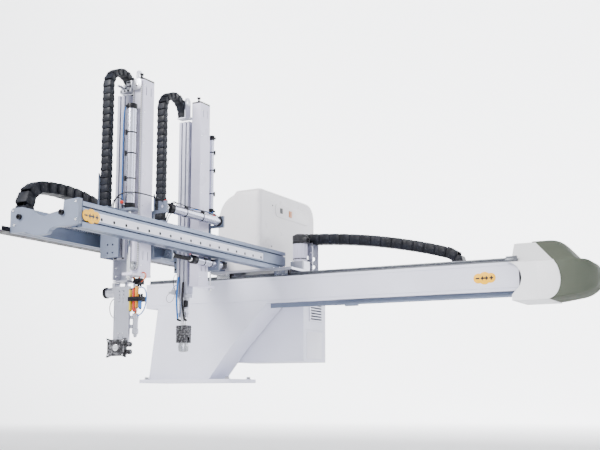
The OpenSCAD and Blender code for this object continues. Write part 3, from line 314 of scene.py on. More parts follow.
class Piece:
    """A mesh under construction, in metres"""

    def __init__(self, name):
        self.name = name
        self.mesh = bmesh.new()

    def block(self, low, high, edge=0.001, matrix=None):
        part = bmesh.new()
        bmesh.ops.create_cube(part, size=1)
        low, high = Vector(low), Vector(high)
        size, middle = high - low, (high + low) / 2
        for v in part.verts:
            v.co = Vector(v.co[i] * size[i] + middle[i] for i in range(3))
        return self.take(part, edge, matrix)

    def blocks(self, *rows):
        """Blocks from rows of two corners in millimetres and a rounding in metres"""
        for row in rows:
            self.block(mm(*row[:3]), mm(*row[3:6]), row[6])

    def take(self, part, edge=0.0, matrix=None):
        if edge:
            bmesh.ops.bevel(part, geom=part.edges[:], offset=edge, segments=2, affect="EDGES", profile=0.6)
        if matrix is not None:
            bmesh.ops.transform(part, matrix=matrix, verts=part.verts)
        copy = bpy.data.meshes.new("part")
        part.to_mesh(copy)
        part.free()
        self.mesh.from_mesh(copy)
        bpy.data.meshes.remove(copy)
        return self

    def lathe(self, a, b, profile, sides=28):
        """A turned form on the line from a to b; profile is (share of the length, radius) pairs"""
        a, b = Vector(a), Vector(b)
        turn = (b - a).to_track_quat("Z", "Y").to_matrix()
        rings = [[self.mesh.verts.new(a + (b - a) * t + turn @ Vector((r * cos(2 * pi * k / sides),
                  r * sin(2 * pi * k / sides), 0))) for k in range(sides)] for t, r in profile]
        for one, two in zip(rings, rings[1:]):
            for k in range(sides):
                self.mesh.faces.new((one[k], one[(k + 1) % sides], two[(k + 1) % sides], two[k]))
        self.mesh.faces.new(rings[0][::-1])
        self.mesh.faces.new(rings[-1])
        return self

    def rod(self, a, b, radius, edge=0.0008, sides=24):
        length = (Vector(b) - Vector(a)).length
        t = min(0.45, edge / length)
        return self.lathe(a, b, ((0, radius - edge), (t, radius), (1 - t, radius), (1, radius - edge)), sides)

    def prism(self, outline, low, high, axis, edge=0.0, matrix=None):
        """An outline drawn in the two other axes, given a depth along axis"""
        part = bmesh.new()
        def spot(p, d):
            return {"X": (d, p[0], p[1]), "Y": (p[0], d, p[1]), "Z": (p[0], p[1], d)}[axis]
        near = [part.verts.new(spot(p, low)) for p in outline]
        far = [part.verts.new(spot(p, high)) for p in outline]
        part.faces.new(near)
        part.faces.new(far[::-1])
        for k in range(len(outline)):
            j = (k + 1) % len(outline)
            part.faces.new((near[j], near[k], far[k], far[j]))
        bmesh.ops.recalc_face_normals(part, faces=part.faces)
        return self.take(part, edge, matrix)

    def loft(self, rings):
        """Closed rings of equal length, joined one to the next, with both ends filled"""
        rows = [[self.mesh.verts.new(p) for p in ring] for ring in rings]
        for one, two in zip(rows, rows[1:]):
            for k in range(len(one)):
                j = (k + 1) % len(one)
                self.mesh.faces.new((one[k], one[j], two[j], two[k]))
        self.mesh.faces.new(rows[0][::-1])
        self.mesh.faces.new(rows[-1])
        return self

    def screw(self, at, axis, radius, height=0.004):
        """A socket head with a dished top"""
        at, axis = Vector(at), Vector(axis)
        r = radius
        return self.lathe(at, at + axis * height, ((0, r), (0.7, r), (1, r * 0.85), (1, r * 0.5),
            (0.5, r * 0.42), (0.5, r * 0.01)), 16)

    def link(self, material):
        """Makes the piece's object, with smooth faces and the material"""
        mesh = bpy.data.meshes.new(self.name)
        self.mesh.to_mesh(mesh)
        self.mesh.free()
        obj = bpy.data.objects.new(self.name, mesh)
        bpy.context.scene.collection.objects.link(obj)
        mesh.materials.append(material)
        mesh.polygons.foreach_set("use_smooth", [True] * len(mesh.polygons))
        return obj

    def finish(self, material, body, slot=None, replaces=()):
        bmesh.ops.recalc_face_normals(self.mesh, faces=self.mesh.faces)
        obj = self.link(MATERIALS[material])
        obj.data.set_sharp_from_angle(angle=radians(SHARP_ANGLE))
        if body:
            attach(obj, body)
        if replaces:
            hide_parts(*replaces)
        return obj


def low(node):
    return Vector(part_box(node)[0])


def high(node):
    return Vector(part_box(node)[1])


def middle(node):
    return (low(node) + high(node)) / 2


# Stage

CAMERA_PLACE = (3.4815, -5.13325, -0.0686)
CAMERA_PITCH = 8.10
CAMERA_AZIMUTH = 28.29
CAMERA_LENS = 59.6
CAMERA_RISE = 0.0467
FLOOR = -1.0


def area_light(name, place, target, size, power, colour=(1, 1, 1)):
    data = bpy.data.lights.new(name, "AREA")
    data.shape = "RECTANGLE"
    data.size, data.size_y = size
    data.energy = power
    data.color = colour
    obj = bpy.data.objects.new(name, data)
    bpy.context.scene.collection.objects.link(obj)
    obj.location = place
    obj.rotation_euler = (Vector(target) - Vector(place)).to_track_quat("-Z", "Y").to_euler()


class MANIPULATOR_OT_stage(Operator):
    """Adds the floor, the studio lights and the camera"""
    bl_idname = "manipulator.stage"
    bl_label = "Stage"

    def execute(self, context):
        piece = Piece("studio_floor")
        reach, rise, bend, around = 36.0, 25.0, 8.0, 72
        profile = [(0.5, FLOOR), (6, FLOOR), (reach - bend, FLOOR)]
        profile += [(reach - bend + bend * sin(a * pi / 24),
            FLOOR + bend - bend * cos(a * pi / 24)) for a in range(1, 13)]
        profile += [(reach, FLOOR + rise)]
        rows = [[piece.mesh.verts.new((r * cos(2 * pi * k / around), r * sin(2 * pi * k / around), z))
                 for k in range(around)] for r, z in profile]
        for one, two in zip(rows, rows[1:]):
            for k in range(around):
                piece.mesh.faces.new((one[k], one[k - 1], two[k - 1], two[k]))
        piece.mesh.faces.new(rows[0])
        f = Finish("studio_floor")
        f.join(f.mix(f.noise(0.8, 3), (0.86, 0.86, 0.87), (0.90, 0.90, 0.91)), f.shader.inputs["Base Color"])
        f.set(Roughness=0.85)
        distance = f.add("VectorMath", operation="LENGTH")
        f.join(f.place, distance.inputs[0])
        parts = f.add("SeparateXYZ")
        f.join(f.place, parts.inputs["Vector"])
        glow = f.add("Math", operation="ADD")
        f.join(f.span(distance.outputs["Value"], 0.22, 0.5, 7, 26), glow.inputs[0])
        f.join(f.span(parts.outputs["Y"], 0.0, 3.2, 13, 29), glow.inputs[1])
        f.join(glow.outputs["Value"], f.shader.inputs["Emission Strength"])
        f.shader.inputs["Emission Color"].default_value = (0.97, 0.98, 1.0, 1)
        piece.link(f.material)
        world = bpy.data.worlds.new("studio")
        world.use_nodes = True
        world.node_tree.nodes["Background"].inputs["Color"].default_value = (0.92, 0.94, 1.0, 1)
        world.node_tree.nodes["Background"].inputs["Strength"].default_value = 0.25
        context.scene.world = world
        heart = (0.8, -0.6, 0.6)
        area_light("key_light", (-1.5, -6.0, 4.5), heart, (2.6, 2.0), 760, (1.0, 0.985, 0.97))
        area_light("side_light", (6.5, -2.5, 3.0), heart, (2.4, 3), 90, (0.88, 0.93, 1.0))
        area_light("top_light", (0.8, -0.3, 5.5), heart, (4, 2.4), 130)
        data = bpy.data.cameras.new("camera")
        data.lens = CAMERA_LENS
        data.sensor_width = 36
        data.shift_y = CAMERA_RISE
        data.clip_end = 200
        camera = bpy.data.objects.new("camera", data)
        camera.location = CAMERA_PLACE
        camera.rotation_euler = (radians(90 + CAMERA_PITCH), 0, radians(CAMERA_AZIMUTH))
        context.scene.collection.objects.link(camera)
        context.scene.camera = camera
        return {"FINISHED"}


class MANIPULATOR_OT_finishes(Operator):
    """Makes the materials and gives one to each solid of the frame"""
    bl_idname = "manipulator.finishes"
    bl_label = "Finishes"

    def execute(self, context):
        make_materials()
        for name, nodes in NODE_FINISH.items():
            for node in nodes:
                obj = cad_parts[node]
                obj.data.materials.clear()
                obj.data.materials.append(MATERIALS[name])
        return {"FINISHED"}


# Cable chains

def bend(radius, turn):
    return (radius * abs(turn) * pi / 180, turn)


def along(start, heading, pieces, distance):
    """Point and heading at a distance along a chain's centre line; each piece is (length, turn)"""
    (x, y), a = start, radians(heading)
    for index, (length, turn) in enumerate(pieces):
        s = min(distance, length) if index < len(pieces) - 1 else distance
        t = radians(turn) * s / length
        if abs(turn) < 0.01:
            x, y = x + s * cos(a), y + s * sin(a)
        else:
            r = length / radians(turn)
            x, y = x + r * (sin(a + t) - sin(a)), y + r * (cos(a) - cos(a + t))
        a += t
        distance -= length
        if distance <= 0:
            break
    return x, y, a


def link_mesh(piece, pitch, height, width, matrix):
    """One link: two waisted cheeks, each half outside its neighbour's, and two snap-in crossbars"""
    h, cheek = height / 2, width * 0.11
    for side in (-1, 1):
        outer = side * width / 2
        for shift, start, stop in ((0.0, -0.56, 0.12), (cheek * 0.45, -0.12, 0.56)):
            inner = outer - side * cheek * 0.55
            a, b = sorted((outer - side * shift, inner - side * shift))
            ends = [start * pitch, stop * pitch]
            outline = [(ends[0], -h * 0.55), (ends[0] + h * 0.3, -h), (ends[1] - h * 0.3, -h),
                (ends[1], -h * 0.55), (ends[1], h * 0.55), (ends[1] - h * 0.3, h), (ends[0] + h * 0.3, h),
                (ends[0], h * 0.55)]
            piece.prism(outline, a, b, "Y", 0.0008, matrix)
    half, inside = pitch * 0.465, width / 2 - cheek * 0.8
    for face in (-1, 1):
        z = face * (h - 0.0035)
        piece.block((-half, -inside, z - 0.003), (half, inside, z + 0.003), 0.0015, matrix)
    return piece


def pin_mesh(piece, pitch, height, width, matrix):
    for side in (-1, 1):
        a = matrix @ Vector((-pitch * 0.38, side * (width / 2 - 0.002), 0))
        b = matrix @ Vector((-pitch * 0.38, side * (width / 2 + 0.0012), 0))
        piece.lathe(a, b, ((0, height * 0.16), (0.8, height * 0.16), (1, height * 0.12)), 14)
    return piece


def link_matrix(x, y, a, across, plane):
    """Local X runs along the chain, Y across its width and Z out of its curve"""
    if plane == "XZ":
        t, n, b, p = (cos(a), 0, sin(a)), (-sin(a), 0, cos(a)), (0, 1, 0), (x, across, y)
    else:
        t, n, b, p = (0, cos(a), sin(a)), (0, -sin(a), cos(a)), (1, 0, 0), (across, x, y)
    return Matrix([[t[i], b[i], n[i], p[i]] for i in range(3)] + [[0, 0, 0, 1]])


def share(w):
    t = 0.5
    for _ in range(30):
        t -= (t * t * (3 - 2 * t) - w) / max(1e-3, 6 * t * (1 - t))
        t = min(0.999, max(0.001, t))
    return t


def place_link(piece, w, a, b, at, node=None):
    """Finishes a link on body a when w is near 0 and on body b when w is near 1; any other link stays where
    it lies, on no body
    """
    obj = piece.finish("chain", None if 0.02 < w < 0.98 else (a if w < 0.5 else b), "black_plastic",
                       (node,) if node else ())
    if 0.02 < w < 0.98:
        t, x, y, z = share(w), *at
        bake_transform(obj)
    return obj


def chain(name, node, a, b, start, heading, pieces, height, width, across, plane, copies=(1, 1), spare=0):
    """Links from the end fixed on body a to the end fixed on body b

    copies is how many links lie over each other in the first and the last run.
    spare is how many lie over the last link.
    """
    total = sum(length for length, turn in pieces)
    count = round(total / (height * 1.1))
    pitch = total / count
    first, last = pieces[0][0], total - sum(length for length, turn in pieces[2:])
    node_left = node
    def weight(s):
        if s <= first:
            return 0.5 * s / first
        return 0.5 if s <= last or total - last < 1e-6 else 0.5 + 0.5 * (s - last) / (total - last)
    rigid = Piece(name + "_bend")
    for i in range(count):
        s = (i + 0.5) * pitch
        run = 0 if s <= first else 1 if s <= last else 2
        x, y, angle = along(start, heading, pieces, s)
        matrix = link_matrix(x, y, angle, across, plane)
        if run == 1:
            link_mesh(rigid, pitch, height, width, matrix)
            pin_mesh(rigid, pitch, height, width, matrix)
            continue
        many = copies[0] if run == 0 else copies[1]
        for k in range(many):
            piece = Piece(f"{name}_link_{i:02d}" + (f"_{k}" if k else ""))
            grow = matrix @ Matrix.Scale(1 - 0.01 * k, 4)
            link_mesh(piece, pitch, height, width, grow)
            pin_mesh(piece, pitch, height, width, grow)
            w = weight(min(total, max(0.0, s + pitch * k / many * (1 if run == 0 else -1))))
            place_link(piece, w, a, b, matrix.translation, node_left)
            node_left = None
    place_link(rigid, 0.5, a, b, matrix.translation, node_left)
    x, y, angle = along(start, heading, pieces, total)
    for k in range(spare):
        piece = Piece(f"{name}_spare_{k:02d}")
        matrix = link_matrix(x, y - height * 0.25, -pi / 2, across, plane) @ Matrix.Scale(1 - 0.004 * k, 4)
        link_mesh(piece, pitch, height, width, matrix)
        pin_mesh(piece, pitch, height, width, matrix)
        place_link(piece, 0.5 + 0.5 * (k + 1) / spare, a, b, matrix.translation)


class MANIPULATOR_OT_cable_chains(Operator):
    """Adds the four cable chains, link by link"""
    bl_idname = "manipulator.cable_chains"
    bl_label = "Cable chains"

    def execute(self, context):
        node = "traverse_cable_chain"
        h, r, fixed, loop, rise, run = 0.062, 0.100, 1.000, 1.530, 0.150, 0.973
        chain("traverse_chain", node, "base", "carriage", (fixed, low(node).z + h / 2), 0,
              [(loop - fixed, 0), bend(r, 163), (rise, 3.5), (run - rise, 12.5)], h,
              high(node).y - low(node).y, middle(node).y, "XZ", copies=(2, 1))
        node = "kick_cable_chain"
        h, r, fixed, loop, end = 0.056, 0.112, -1.000, -1.545, -1.150
        chain("kick_chain", node, "carriage", "main_kick", (fixed, low(node).z + h / 2), 180,
            [(fixed - loop, 0), bend(r, -172), (end - loop, -22)], h, high(node).x - low(node).x,
            middle(node).x, "YZ")
        for arm in ("main", "sub"):
            node, h, r, bend_start = arm + "_cable_chain", 0.033, 0.095, 1.453
            chain(arm + "_arm_chain", node, arm + "_kick", arm + "_stage", (low(node).y + h / 2, low(node).z),
                90, [(bend_start - low(node).z, 0), bend(r, -168)], h, high(node).x - low(node).x,
                middle(node).x, "YZ", spare=sizes().inner_links)
        return {"FINISHED"}


def mm(x, y, z):
    return Vector((x, y, z)) * MM


def rounded_outline(points, radii, steps=5):
    """A closed outline with its corners rounded; radii is one value or one for each corner"""
    out = []
    for i, p in enumerate(points):
        p, a, b = Vector(p), Vector(points[i - 1]), Vector(points[(i + 1) % len(points)])
        r = radii[i] if isinstance(radii, (list, tuple)) else radii
        cut = min(r, 0.45 * (a - p).length, 0.45 * (b - p).length)
        s, e = p + (a - p).normalized() * cut, p + (b - p).normalized() * cut
        for k in range(steps + 1):
            t = k / steps
            out.append(tuple(s * (1 - t) ** 2 + p * 2 * t * (1 - t) + e * t * t))
    return out


def smooth_path(points, steps=6):
    pts = [Vector(p) for p in points]
    pts = [pts[0] * 2 - pts[1], *pts, pts[-1] * 2 - pts[-2]]
    out = []
    for a, b, c, d in zip(pts, pts[1:], pts[2:], pts[3:]):
        for k in range(steps):
            t = k / steps
            out.append(0.5 * (2 * b + (c - a) * t + (2 * a - 5 * b + 4 * c - d) * t * t +
                (3 * b - a - 3 * c + d) * t ** 3))
    return out + [pts[-2]]


def hose(name, points, radius, material, body, replaces=(), sides=12):
    """A hose or cable through the points, given in millimetres, with both ends held by the object"""
    path = smooth_path([mm(*p) for p in points])
    for _ in range(6):
        path[1:-1] = [(a + b * 2 + c) / 4 for a, b, c in zip(path, path[1:], path[2:])]
    piece = Piece(name)
    side = (path[1] - path[0]).orthogonal().normalized()
    rings = []
    for i, p in enumerate(path):
        tangent = (path[min(i + 1, len(path) - 1)] - path[max(i - 1, 0)]).normalized()
        side = (side - tangent * side.dot(tangent)).normalized()
        other = tangent.cross(side)
        rings.append([p + radius * (cos(2 * pi * k / sides) * side + sin(2 * pi * k / sides) * other)
                      for k in range(sides)])
    piece.loft(rings)
    obj = piece.finish(material, body, replaces=replaces)
    return obj


def rounded_rectangle(x0, y0, x1, y1, radius, steps=5):
    return rounded_outline([(x0, y0), (x0, y1), (x1, y1), (x1, y0)], radius, steps)


def screw_set(name, material, body, *groups):
    """A piece of screws; a group is places along X, Y and Z in millimetres, then what Piece.screw takes"""
    piece = Piece(name)
    for xs, ys, zs, *kind in groups:
        for place in product(xs, ys, zs):
            piece.screw(mm(*place), *kind)
    piece.finish(material, body)


# Covers

class MANIPULATOR_OT_carriage_cover(Operator):
    """Adds the moulded cover of the traverse carriage with its raised panel and two tiles"""
    bl_idname = "manipulator.carriage_cover"
    bl_label = "Carriage cover"

    def execute(self, context):
        a, b = low("carriage_cover"), high("carriage_cover")
        base = high("carriage_plate").z
        stations = ((0.000, 0.034, 0.200, 0.060), (0.004, 0.026, 0.160, 0.050), (0.014, 0.019, 0.118, 0.040),
            (0.030, 0.015, 0.084, 0.030), (0.052, 0.0125, 0.056, 0.020), (0.080, 0.0110, 0.036, 0.012),
            (0.108, 0.0100, 0.024, 0.008), (0.116, 0.0090, 0.020, 0.007), (0.134, 0.0020, 0.006, 0.002),
            (0.142, 0.0, 0.002, 0.0), (0.285, 0.0, 0.0, 0.0), (0.296, 0.0012, 0.0012, 0.0012),
            (0.305, 0.005, 0.005, 0.005), (0.3115, 0.0125, 0.0125, 0.0125), (0.3145, 0.021, 0.021, 0.021),
            (0.3150, 0.026, 0.026, 0.026))
        piece = Piece("carriage_cover_moulding")
        rings = []
        for x, near, top, far in stations:
            y0, y1, z1 = a.y + near, b.y - far, b.z + 0.008 - top
            outline = rounded_outline([(y0, a.z), (y0, z1), (y1, z1), (y1, base + 0.205),
                (y1 - 0.120, base + 0.165), (y1 - 0.190, a.z)], [0.003, 0.045, 0.105, 0.05, 0.09, 0.006], 8)
            rings.append([(a.x + x, y, z) for y, z in outline])
        piece.loft(rings)
        piece.finish("cover", "carriage", replaces=("carriage_cover",))
        panel = Piece("carriage_cover_panel")
        panel.prism(rounded_rectangle(0.120, 1.022, 0.560, 1.108, 0.042, 8),
                    b.x - 0.004, b.x + 0.003, "X", 0.0022)
        panel.prism(rounded_rectangle(0.020, 0.712, 0.150, 0.790, 0.02, 6),
                    b.x - 0.004, b.x + 0.002, "X", 0.0015)
        panel.finish("cover", "carriage")
        for name, material, y, z, half in (("tile_black", "black", 0.193, 1.066, 0.017),
                ("tile_orange", "orange", 0.309, 1.062, 0.021)):
            tile = Piece("cover_" + name)
            tile.prism(rounded_rectangle(y - half, z - half, y + half, z + half, 0.005, 4), b.x + 0.0028,
                       b.x + 0.0045, "X", 0.0007)
            tile.finish(material, "carriage")
        return {"FINISHED"}


class MANIPULATOR_OT_end_nose(Operator):
    """Adds the grey shell of the end cover, with its rounded nose"""
    bl_idname = "manipulator.end_nose"
    bl_label = "End nose"

    def execute(self, context):
        a, b = low("end_cover_white"), high("end_cover_grey")
        y0, y1, z0, z1, x1 = a.y, high("end_cover_grey").y, a.z, b.z, b.x
        corners, start, waist = (0.190, 0.090), 2.08, 0.518
        roof = rounded_outline([(start, z1 - 0.001), (2.226, z1 - 0.001), (x1 - 0.088, z1 - 0.136),
            (x1 - 0.044, z1 - 0.134), (x1 - 0.008, z1 - 0.162), (x1, waist), (start, waist)],
            [0.0, 0.06, 0.05, 0.04, 0.05, 0.0, 0.0], 8)
        floor = rounded_outline([(start, z0 + 0.001), (2.22, z0 + 0.002), (x1 - 0.075, z0 + 0.026),
            (x1 - 0.010, z0 + 0.062), (x1, waist), (start, waist)], [0.0, 0.05, 0.07, 0.05, 0.0, 0.0], 8)
        def height(line, x):
            for p, q in zip(line, line[1:]):
                if p[0] <= x <= q[0] and q[0] > p[0]:
                    return p[1] + (q[1] - p[1]) * (x - p[0]) / (q[0] - p[0])
            return waist
        count, rings = 44, []
        for i in range(count + 1):
            t = i / count
            x = start + (x1 - start) * (1 - (1 - t) ** 1.8) * 0.99985
            top, bottom = height(roof, x), height(floor, x)
            inset = [r - (r ** 2 - min(max(0.0, x - (x1 - r)),
                r * 0.9999) ** 2) ** 0.5 + 0.0025 for r in corners]
            front, rear = y0 + inset[0], y1 - inset[1]
            slope = min(top - 0.006, z0 + 0.197 + (front - y0) * 0.6)
            shoulder = min(rear - 0.01, max(front + 0.012, front + (top - slope) / 0.6))
            outline = rounded_outline([(front, bottom), (front, slope), (shoulder, top), (rear, top),
                (rear, bottom)], [0.012, 0.018, 0.03, 0.014, 0.012], 5)
            rings.append([(x, y, z) for y, z in outline])
        piece = Piece("end_nose_moulding")
        piece.loft(rings)
        piece.finish("nose", "base", replaces=("end_cover_grey",))
        lip = Piece("hood_seam_lip")
        arc = smooth_path([(2.2480, 0.6065, 0), (2.2660, 0.575, 0), (2.2770, 0.535, 0), (2.2785, 0.495, 0),
            (2.2680, 0.455, 0), (2.2480, 0.427, 0), (2.2180, 0.4105, 0)], 5)
        lip.prism([(2.16, 0.4105), (2.16, 0.6065)] + [(x, z) for x, z, y in arc], y0 - 0.0012, y0 + 0.004,
            "Y", 0.0008)
        lip.finish("hood", "base")
        # The crease is a raised bead in the cover grey, darker than the hood: its relief casts real shade,
        # and the darker grey is painted shade of the crease
        crease = Piece("hood_crease")
        crease.rod((a.x + 0.028, y0 + 0.0006, z0 + 0.2), (2.2470, y0 + 0.0006, z0 + 0.2), 0.0022, 0.0008, 12)
        crease.finish("cover", "base")
        rail = Piece("beam_rail_end")
        top = low("traverse_guide_rails").z
        rail.block((high("traverse_guide_rails").x - 0.002, y0 + 0.002, top),
            (2.060, y0 + 0.030, top + 0.014), 0.0015)
        rail.block((high("traverse_guide_rails").x - 0.002, y0 + 0.006, top + 0.014),
            (2.056, y0 + 0.026, top + 0.028), 0.0015)
        rail.finish("guide", "base")
        return {"FINISHED"}


# Kick frame and beam details

def direction_label(name, centre, across, up, out, body):
    """A yellow label of three overlapping rounds, with a minus, a double arrow and a plus"""
    r = sizes().label_height / 2
    turn = Matrix([[across[i], out[i], up[i]] for i in range(3)]).to_4x4()
    place = Matrix.Translation(centre) @ turn
    plate = Piece(name + "_plate")
    for c, q in ((-1.1, 0.85), (0, 1.08), (1.1, 0.85)):
        ring = [(c * r + q * r * cos(2 * pi * k / 40), q * r * sin(2 * pi * k / 40)) for k in range(40)]
        plate.prism(ring, 0.0 + 0.00005 * c, 0.0012 + 0.00005 * c, "Y", 0.0004, place)
    plate.finish("label", body)
    marks = Piece(name + "_marks")
    def bar(x0, x1, z0, z1):
        marks.prism([(x0 * r, z0 * r), (x1 * r, z0 * r), (x1 * r, z1 * r), (x0 * r, z1 * r)], 0.0011, 0.0017,
            "Y", 0.0, place)
    bar(-1.55, -0.87, -0.12, 0.12)
    bar(0.87, 1.55, -0.12, 0.12)
    bar(1.09, 1.33, 0.12, 0.34)
    bar(1.09, 1.33, -0.34, -0.12)
    bar(-0.25, 0.25, -0.13, 0.13)
    for s in (-1, 1):
        tip = [(s * 0.72 * r, 0), (s * 0.25 * r, 0.42 * r), (s * 0.25 * r, -0.42 * r)]
        marks.prism(tip, 0.0011, 0.0017, "Y", 0.0, place)
    marks.finish("ink", body)


class MANIPULATOR_OT_frame_details(Operator):
    """Adds the screws of the cover strip and end plate, the rail caps and the two direction labels"""
    bl_idname = "manipulator.frame_details"
    bl_label = "Frame details"

    def execute(self, context):
        plate = low("kick_end_plate")
        strip = high("rail_cover_strip")
        # The strip's screw heads are near-black: painted shade inside their holes
        screws = Piece("strip_screws")
        y0, y1 = low("rail_cover_strip").y + 0.124, strip.y - 0.024
        for i in range(17):
            screws.screw((strip.x - 0.001, y0 + (y1 - y0) * i / 16, low("rail_cover_strip").z + 0.012),
                (1, 0, 0), 0.0078, 0.0018)
        screws.finish("hole", "carriage")
        bolts = Piece("end_plate_screws")
        for x, z in ((187, 768), (196, 700), (560, 698), (560, 780)):
            bolts.screw(mm(x, plate.y / MM + 0.5, z), FRONT, 0.0065, 0.004)
        bolts.finish("rod", "carriage")
        direction_label("rail_label", Vector((strip.x + 0.0002, -1.712, 0.722)), (0, 1, 0), (0, 0, 1),
            (1, 0, 0), "carriage")
        direction_label("beam_label", Vector((1.875, low("traverse_beam").y, 0.537)), (1, 0, 0), (0, 0, 1),
                        (0, -1, 0), "base")
        beam = Piece("beam_end_caps")
        c, d = low("traverse_beam"), high("traverse_beam")
        beam.prism(rounded_rectangle(c.y, c.z, d.y, d.z, 0.006), c.x - 0.004, c.x, "X",
                   0.0015)
        for y in (c.y + 0.02, d.y - 0.02):
            for z in (c.z + 0.02, d.z - 0.02):
                beam.screw((c.x - 0.0038, y, z), LEFT, 0.007, 0.004)
        beam.finish("white_paint", "base")
        bolts = Piece("flange_bolts")
        for x in (-0.295, 0.295):
            for y in (-0.120, 0.120):
                bolts.lathe((x, y, 0.022), (x, y, 0.026), ((0, 0.017), (0.7, 0.017), (1, 0.0155)), 32)
                bolts.lathe((x, y, 0.026), (x, y, 0.037), ((0, 0.0135), (0.85, 0.0135), (1, 0.012)), 6)
        bolts.finish("steel", "base")
        rear = Piece("extrusion_end_screws")
        for node in ("front_kick_rail", "rear_kick_rail"):
            m, top = middle(node), high(node)
            for z in (0.3, 0.7):
                rear.screw((m.x, top.y - 0.0005, low(node).z + z * (top.z - low(node).z)), BACK, 0.006, 0.004)
        rear.finish("black", "carriage")
        return {"FINISHED"}


# Air cylinders

def air_cylinder(name, node, a, b, radius, body, straps, heads=(26, 28), side=(0, -1, 0)):
    """A drawn barrel with grooved black heads and a switch on each strap, from a to b in millimetres"""
    a, b = mm(*a), mm(*b)
    axis, length = (b - a).normalized(), (b - a).length
    r, side = radius * MM, Vector(side)
    h0, h1 = heads[0] * MM, heads[1] * MM
    tube = Piece(name + "_barrel")
    tube.lathe(a + axis * h0 * 0.6, b - axis * h1 * 0.6, ((0, r * 0.97), (0.01, r), (0.99, r), (1, r * 0.97)),
        40)
    tube.finish("barrel", body, replaces=(node,) if node else ())
    ends = Piece(name + "_heads")
    grooved = ((0, 0.86), (0.06, 0.97), (0.2, 1.0), (0.62, 1.0), (0.66, 0.93), (0.76, 0.93), (0.80, 1.0),
        (0.97, 1.0), (1, 0.95))
    r_head = r + 0.002
    ends.lathe(a, a + axis * h0, [(t, r_head * q) for t, q in grooved], 40)
    ends.lathe(b, b - axis * h1, [(t, r_head * q) for t, q in grooved], 40)
    for end, way in ((a, 1), (b, -1)):
        port = end + axis * way * 0.014
        ends.lathe(port + side * r * 0.9, port + side * (r + 0.009), ((0, 0.006), (0.7, 0.006), (1, 0.005)),
            16)
    ends.finish("black", body)
    bands = Piece(name + "_straps")
    for t in straps:
        p = a + axis * length * t
        bands.lathe(p - axis * 0.0035, p + axis * 0.0035, ((0, r + 0.0004), (0.15, r + 0.0016),
            (0.85, r + 0.0016), (1, r + 0.0004)), 40)
        spot = p + side * (r + 0.004)
        other = axis.cross(side)
        turn = Matrix([[axis[i], side[i], other[i]] for i in range(3)]).to_4x4()
        bands.block((-0.013, -0.004, -0.0045), (0.013, 0.004, 0.0045), 0.001, Matrix.Translation(spot) @ turn)
    bands.finish("black", body)


class MANIPULATOR_OT_cylinders(Operator):
    """Adds the two lift cylinders and the two link cylinders"""
    bl_idname = "manipulator.cylinders"
    bl_label = "Air cylinders"

    def execute(self, context):
        air_cylinder("main_lift", "main_lift_cylinder", (455, -1284, 840), (455, -1284, 1373), 24,
            "main_kick", (0.28, 0.52, 0.72), side=(-0.6, -0.8, 0))
        air_cylinder("sub_lift", "sub_lift_cylinder", (470, -582, 925), (470, -582, 1370), 14, "sub_kick",
                     (0.25, 0.55, 0.78), side=(0.8, 0.6, 0))
        air_cylinder("upper_link", "link_cylinders", (545, -1089, 868), (545, -615, 868), 24, "sub_kick",
                     (0.30, 0.62), (34, 22), side=(0.5, 0, 0.86))
        air_cylinder("lower_link", None, (520, -842, 637), (520, -521, 637), 21, "sub_kick",
                     (0.34, 0.56), (44, 40), side=(0.9, 0, 0.43))
        noses = Piece("link_rod_noses")
        for x, z, y in ((545, 868, -1089), (520, 637, -842)):
            noses.lathe(mm(x, y - 12, z), mm(x, y, z), ((0, 0.010), (0.3, 0.013), (1, 0.014)), 24)
        noses.finish("rod", "sub_kick")
        sleeve = Piece("lower_link_sleeve")
        ribs = [(0, 0.016), (0.05, 0.019), (0.12, 0.019), (0.14, 0.0105)]
        for k in range(12):
            ribs += [(0.15 + k * 0.07, 0.0118), (0.19 + k * 0.07, 0.0118), (0.20 + k * 0.07, 0.0102)]
        sleeve.lathe(mm(520, -1022, 637), mm(520, -858, 637), ribs + [(1, 0.0105)], 28)
        sleeve.finish("black", "main_kick")
        for name, body, spots in (("main", "main_kick", ((441, -1305, 858, 436, -1330, 870),)),
                ("link", "sub_kick", ((530, -1078, 888, 524, -1082, 914), (528, -632, 886, 522, -634, 908),
                (505, -812, 656, 499, -814, 676)))):
            stem, cap = Piece(name + "_speed_stems"), Piece(name + "_speed_knobs")
            for x0, y0, z0, x1, y1, z1 in spots:
                p, q = mm(x0, y0, z0), mm(x1, y1, z1)
                stem.lathe(p, p + (q - p) * 0.7, ((0, 0.0065), (0.3, 0.0065), (0.35, 0.0045), (1, 0.0045)),
                    16)
                cap.lathe(p + (q - p) * 0.55, q, ((0, 0.006), (0.15, 0.0085), (0.8, 0.0085), (1, 0.006)), 20)
            stem.finish("rod", body)
            cap.finish("red", body)
        hose("lift_air_tube", [(431, -1303, 856), (424, -1309, 900), (424, -1310, 1000), (424, -1310, 1120),
            (424, -1310, 1240), (425, -1309, 1320), (432, -1303, 1358)], 0.0025, "blue", "main_kick")
        hose("link_switch_cable", [(557, -1062, 893), (560, -1030, 902), (558, -960, 899), (560, -880, 898),
            (558, -800, 900), (558, -720, 898), (553, -660, 899), (548, -629, 893)], 0.0022, "hose",
            "sub_kick")
        return {"FINISHED"}


# Arm details

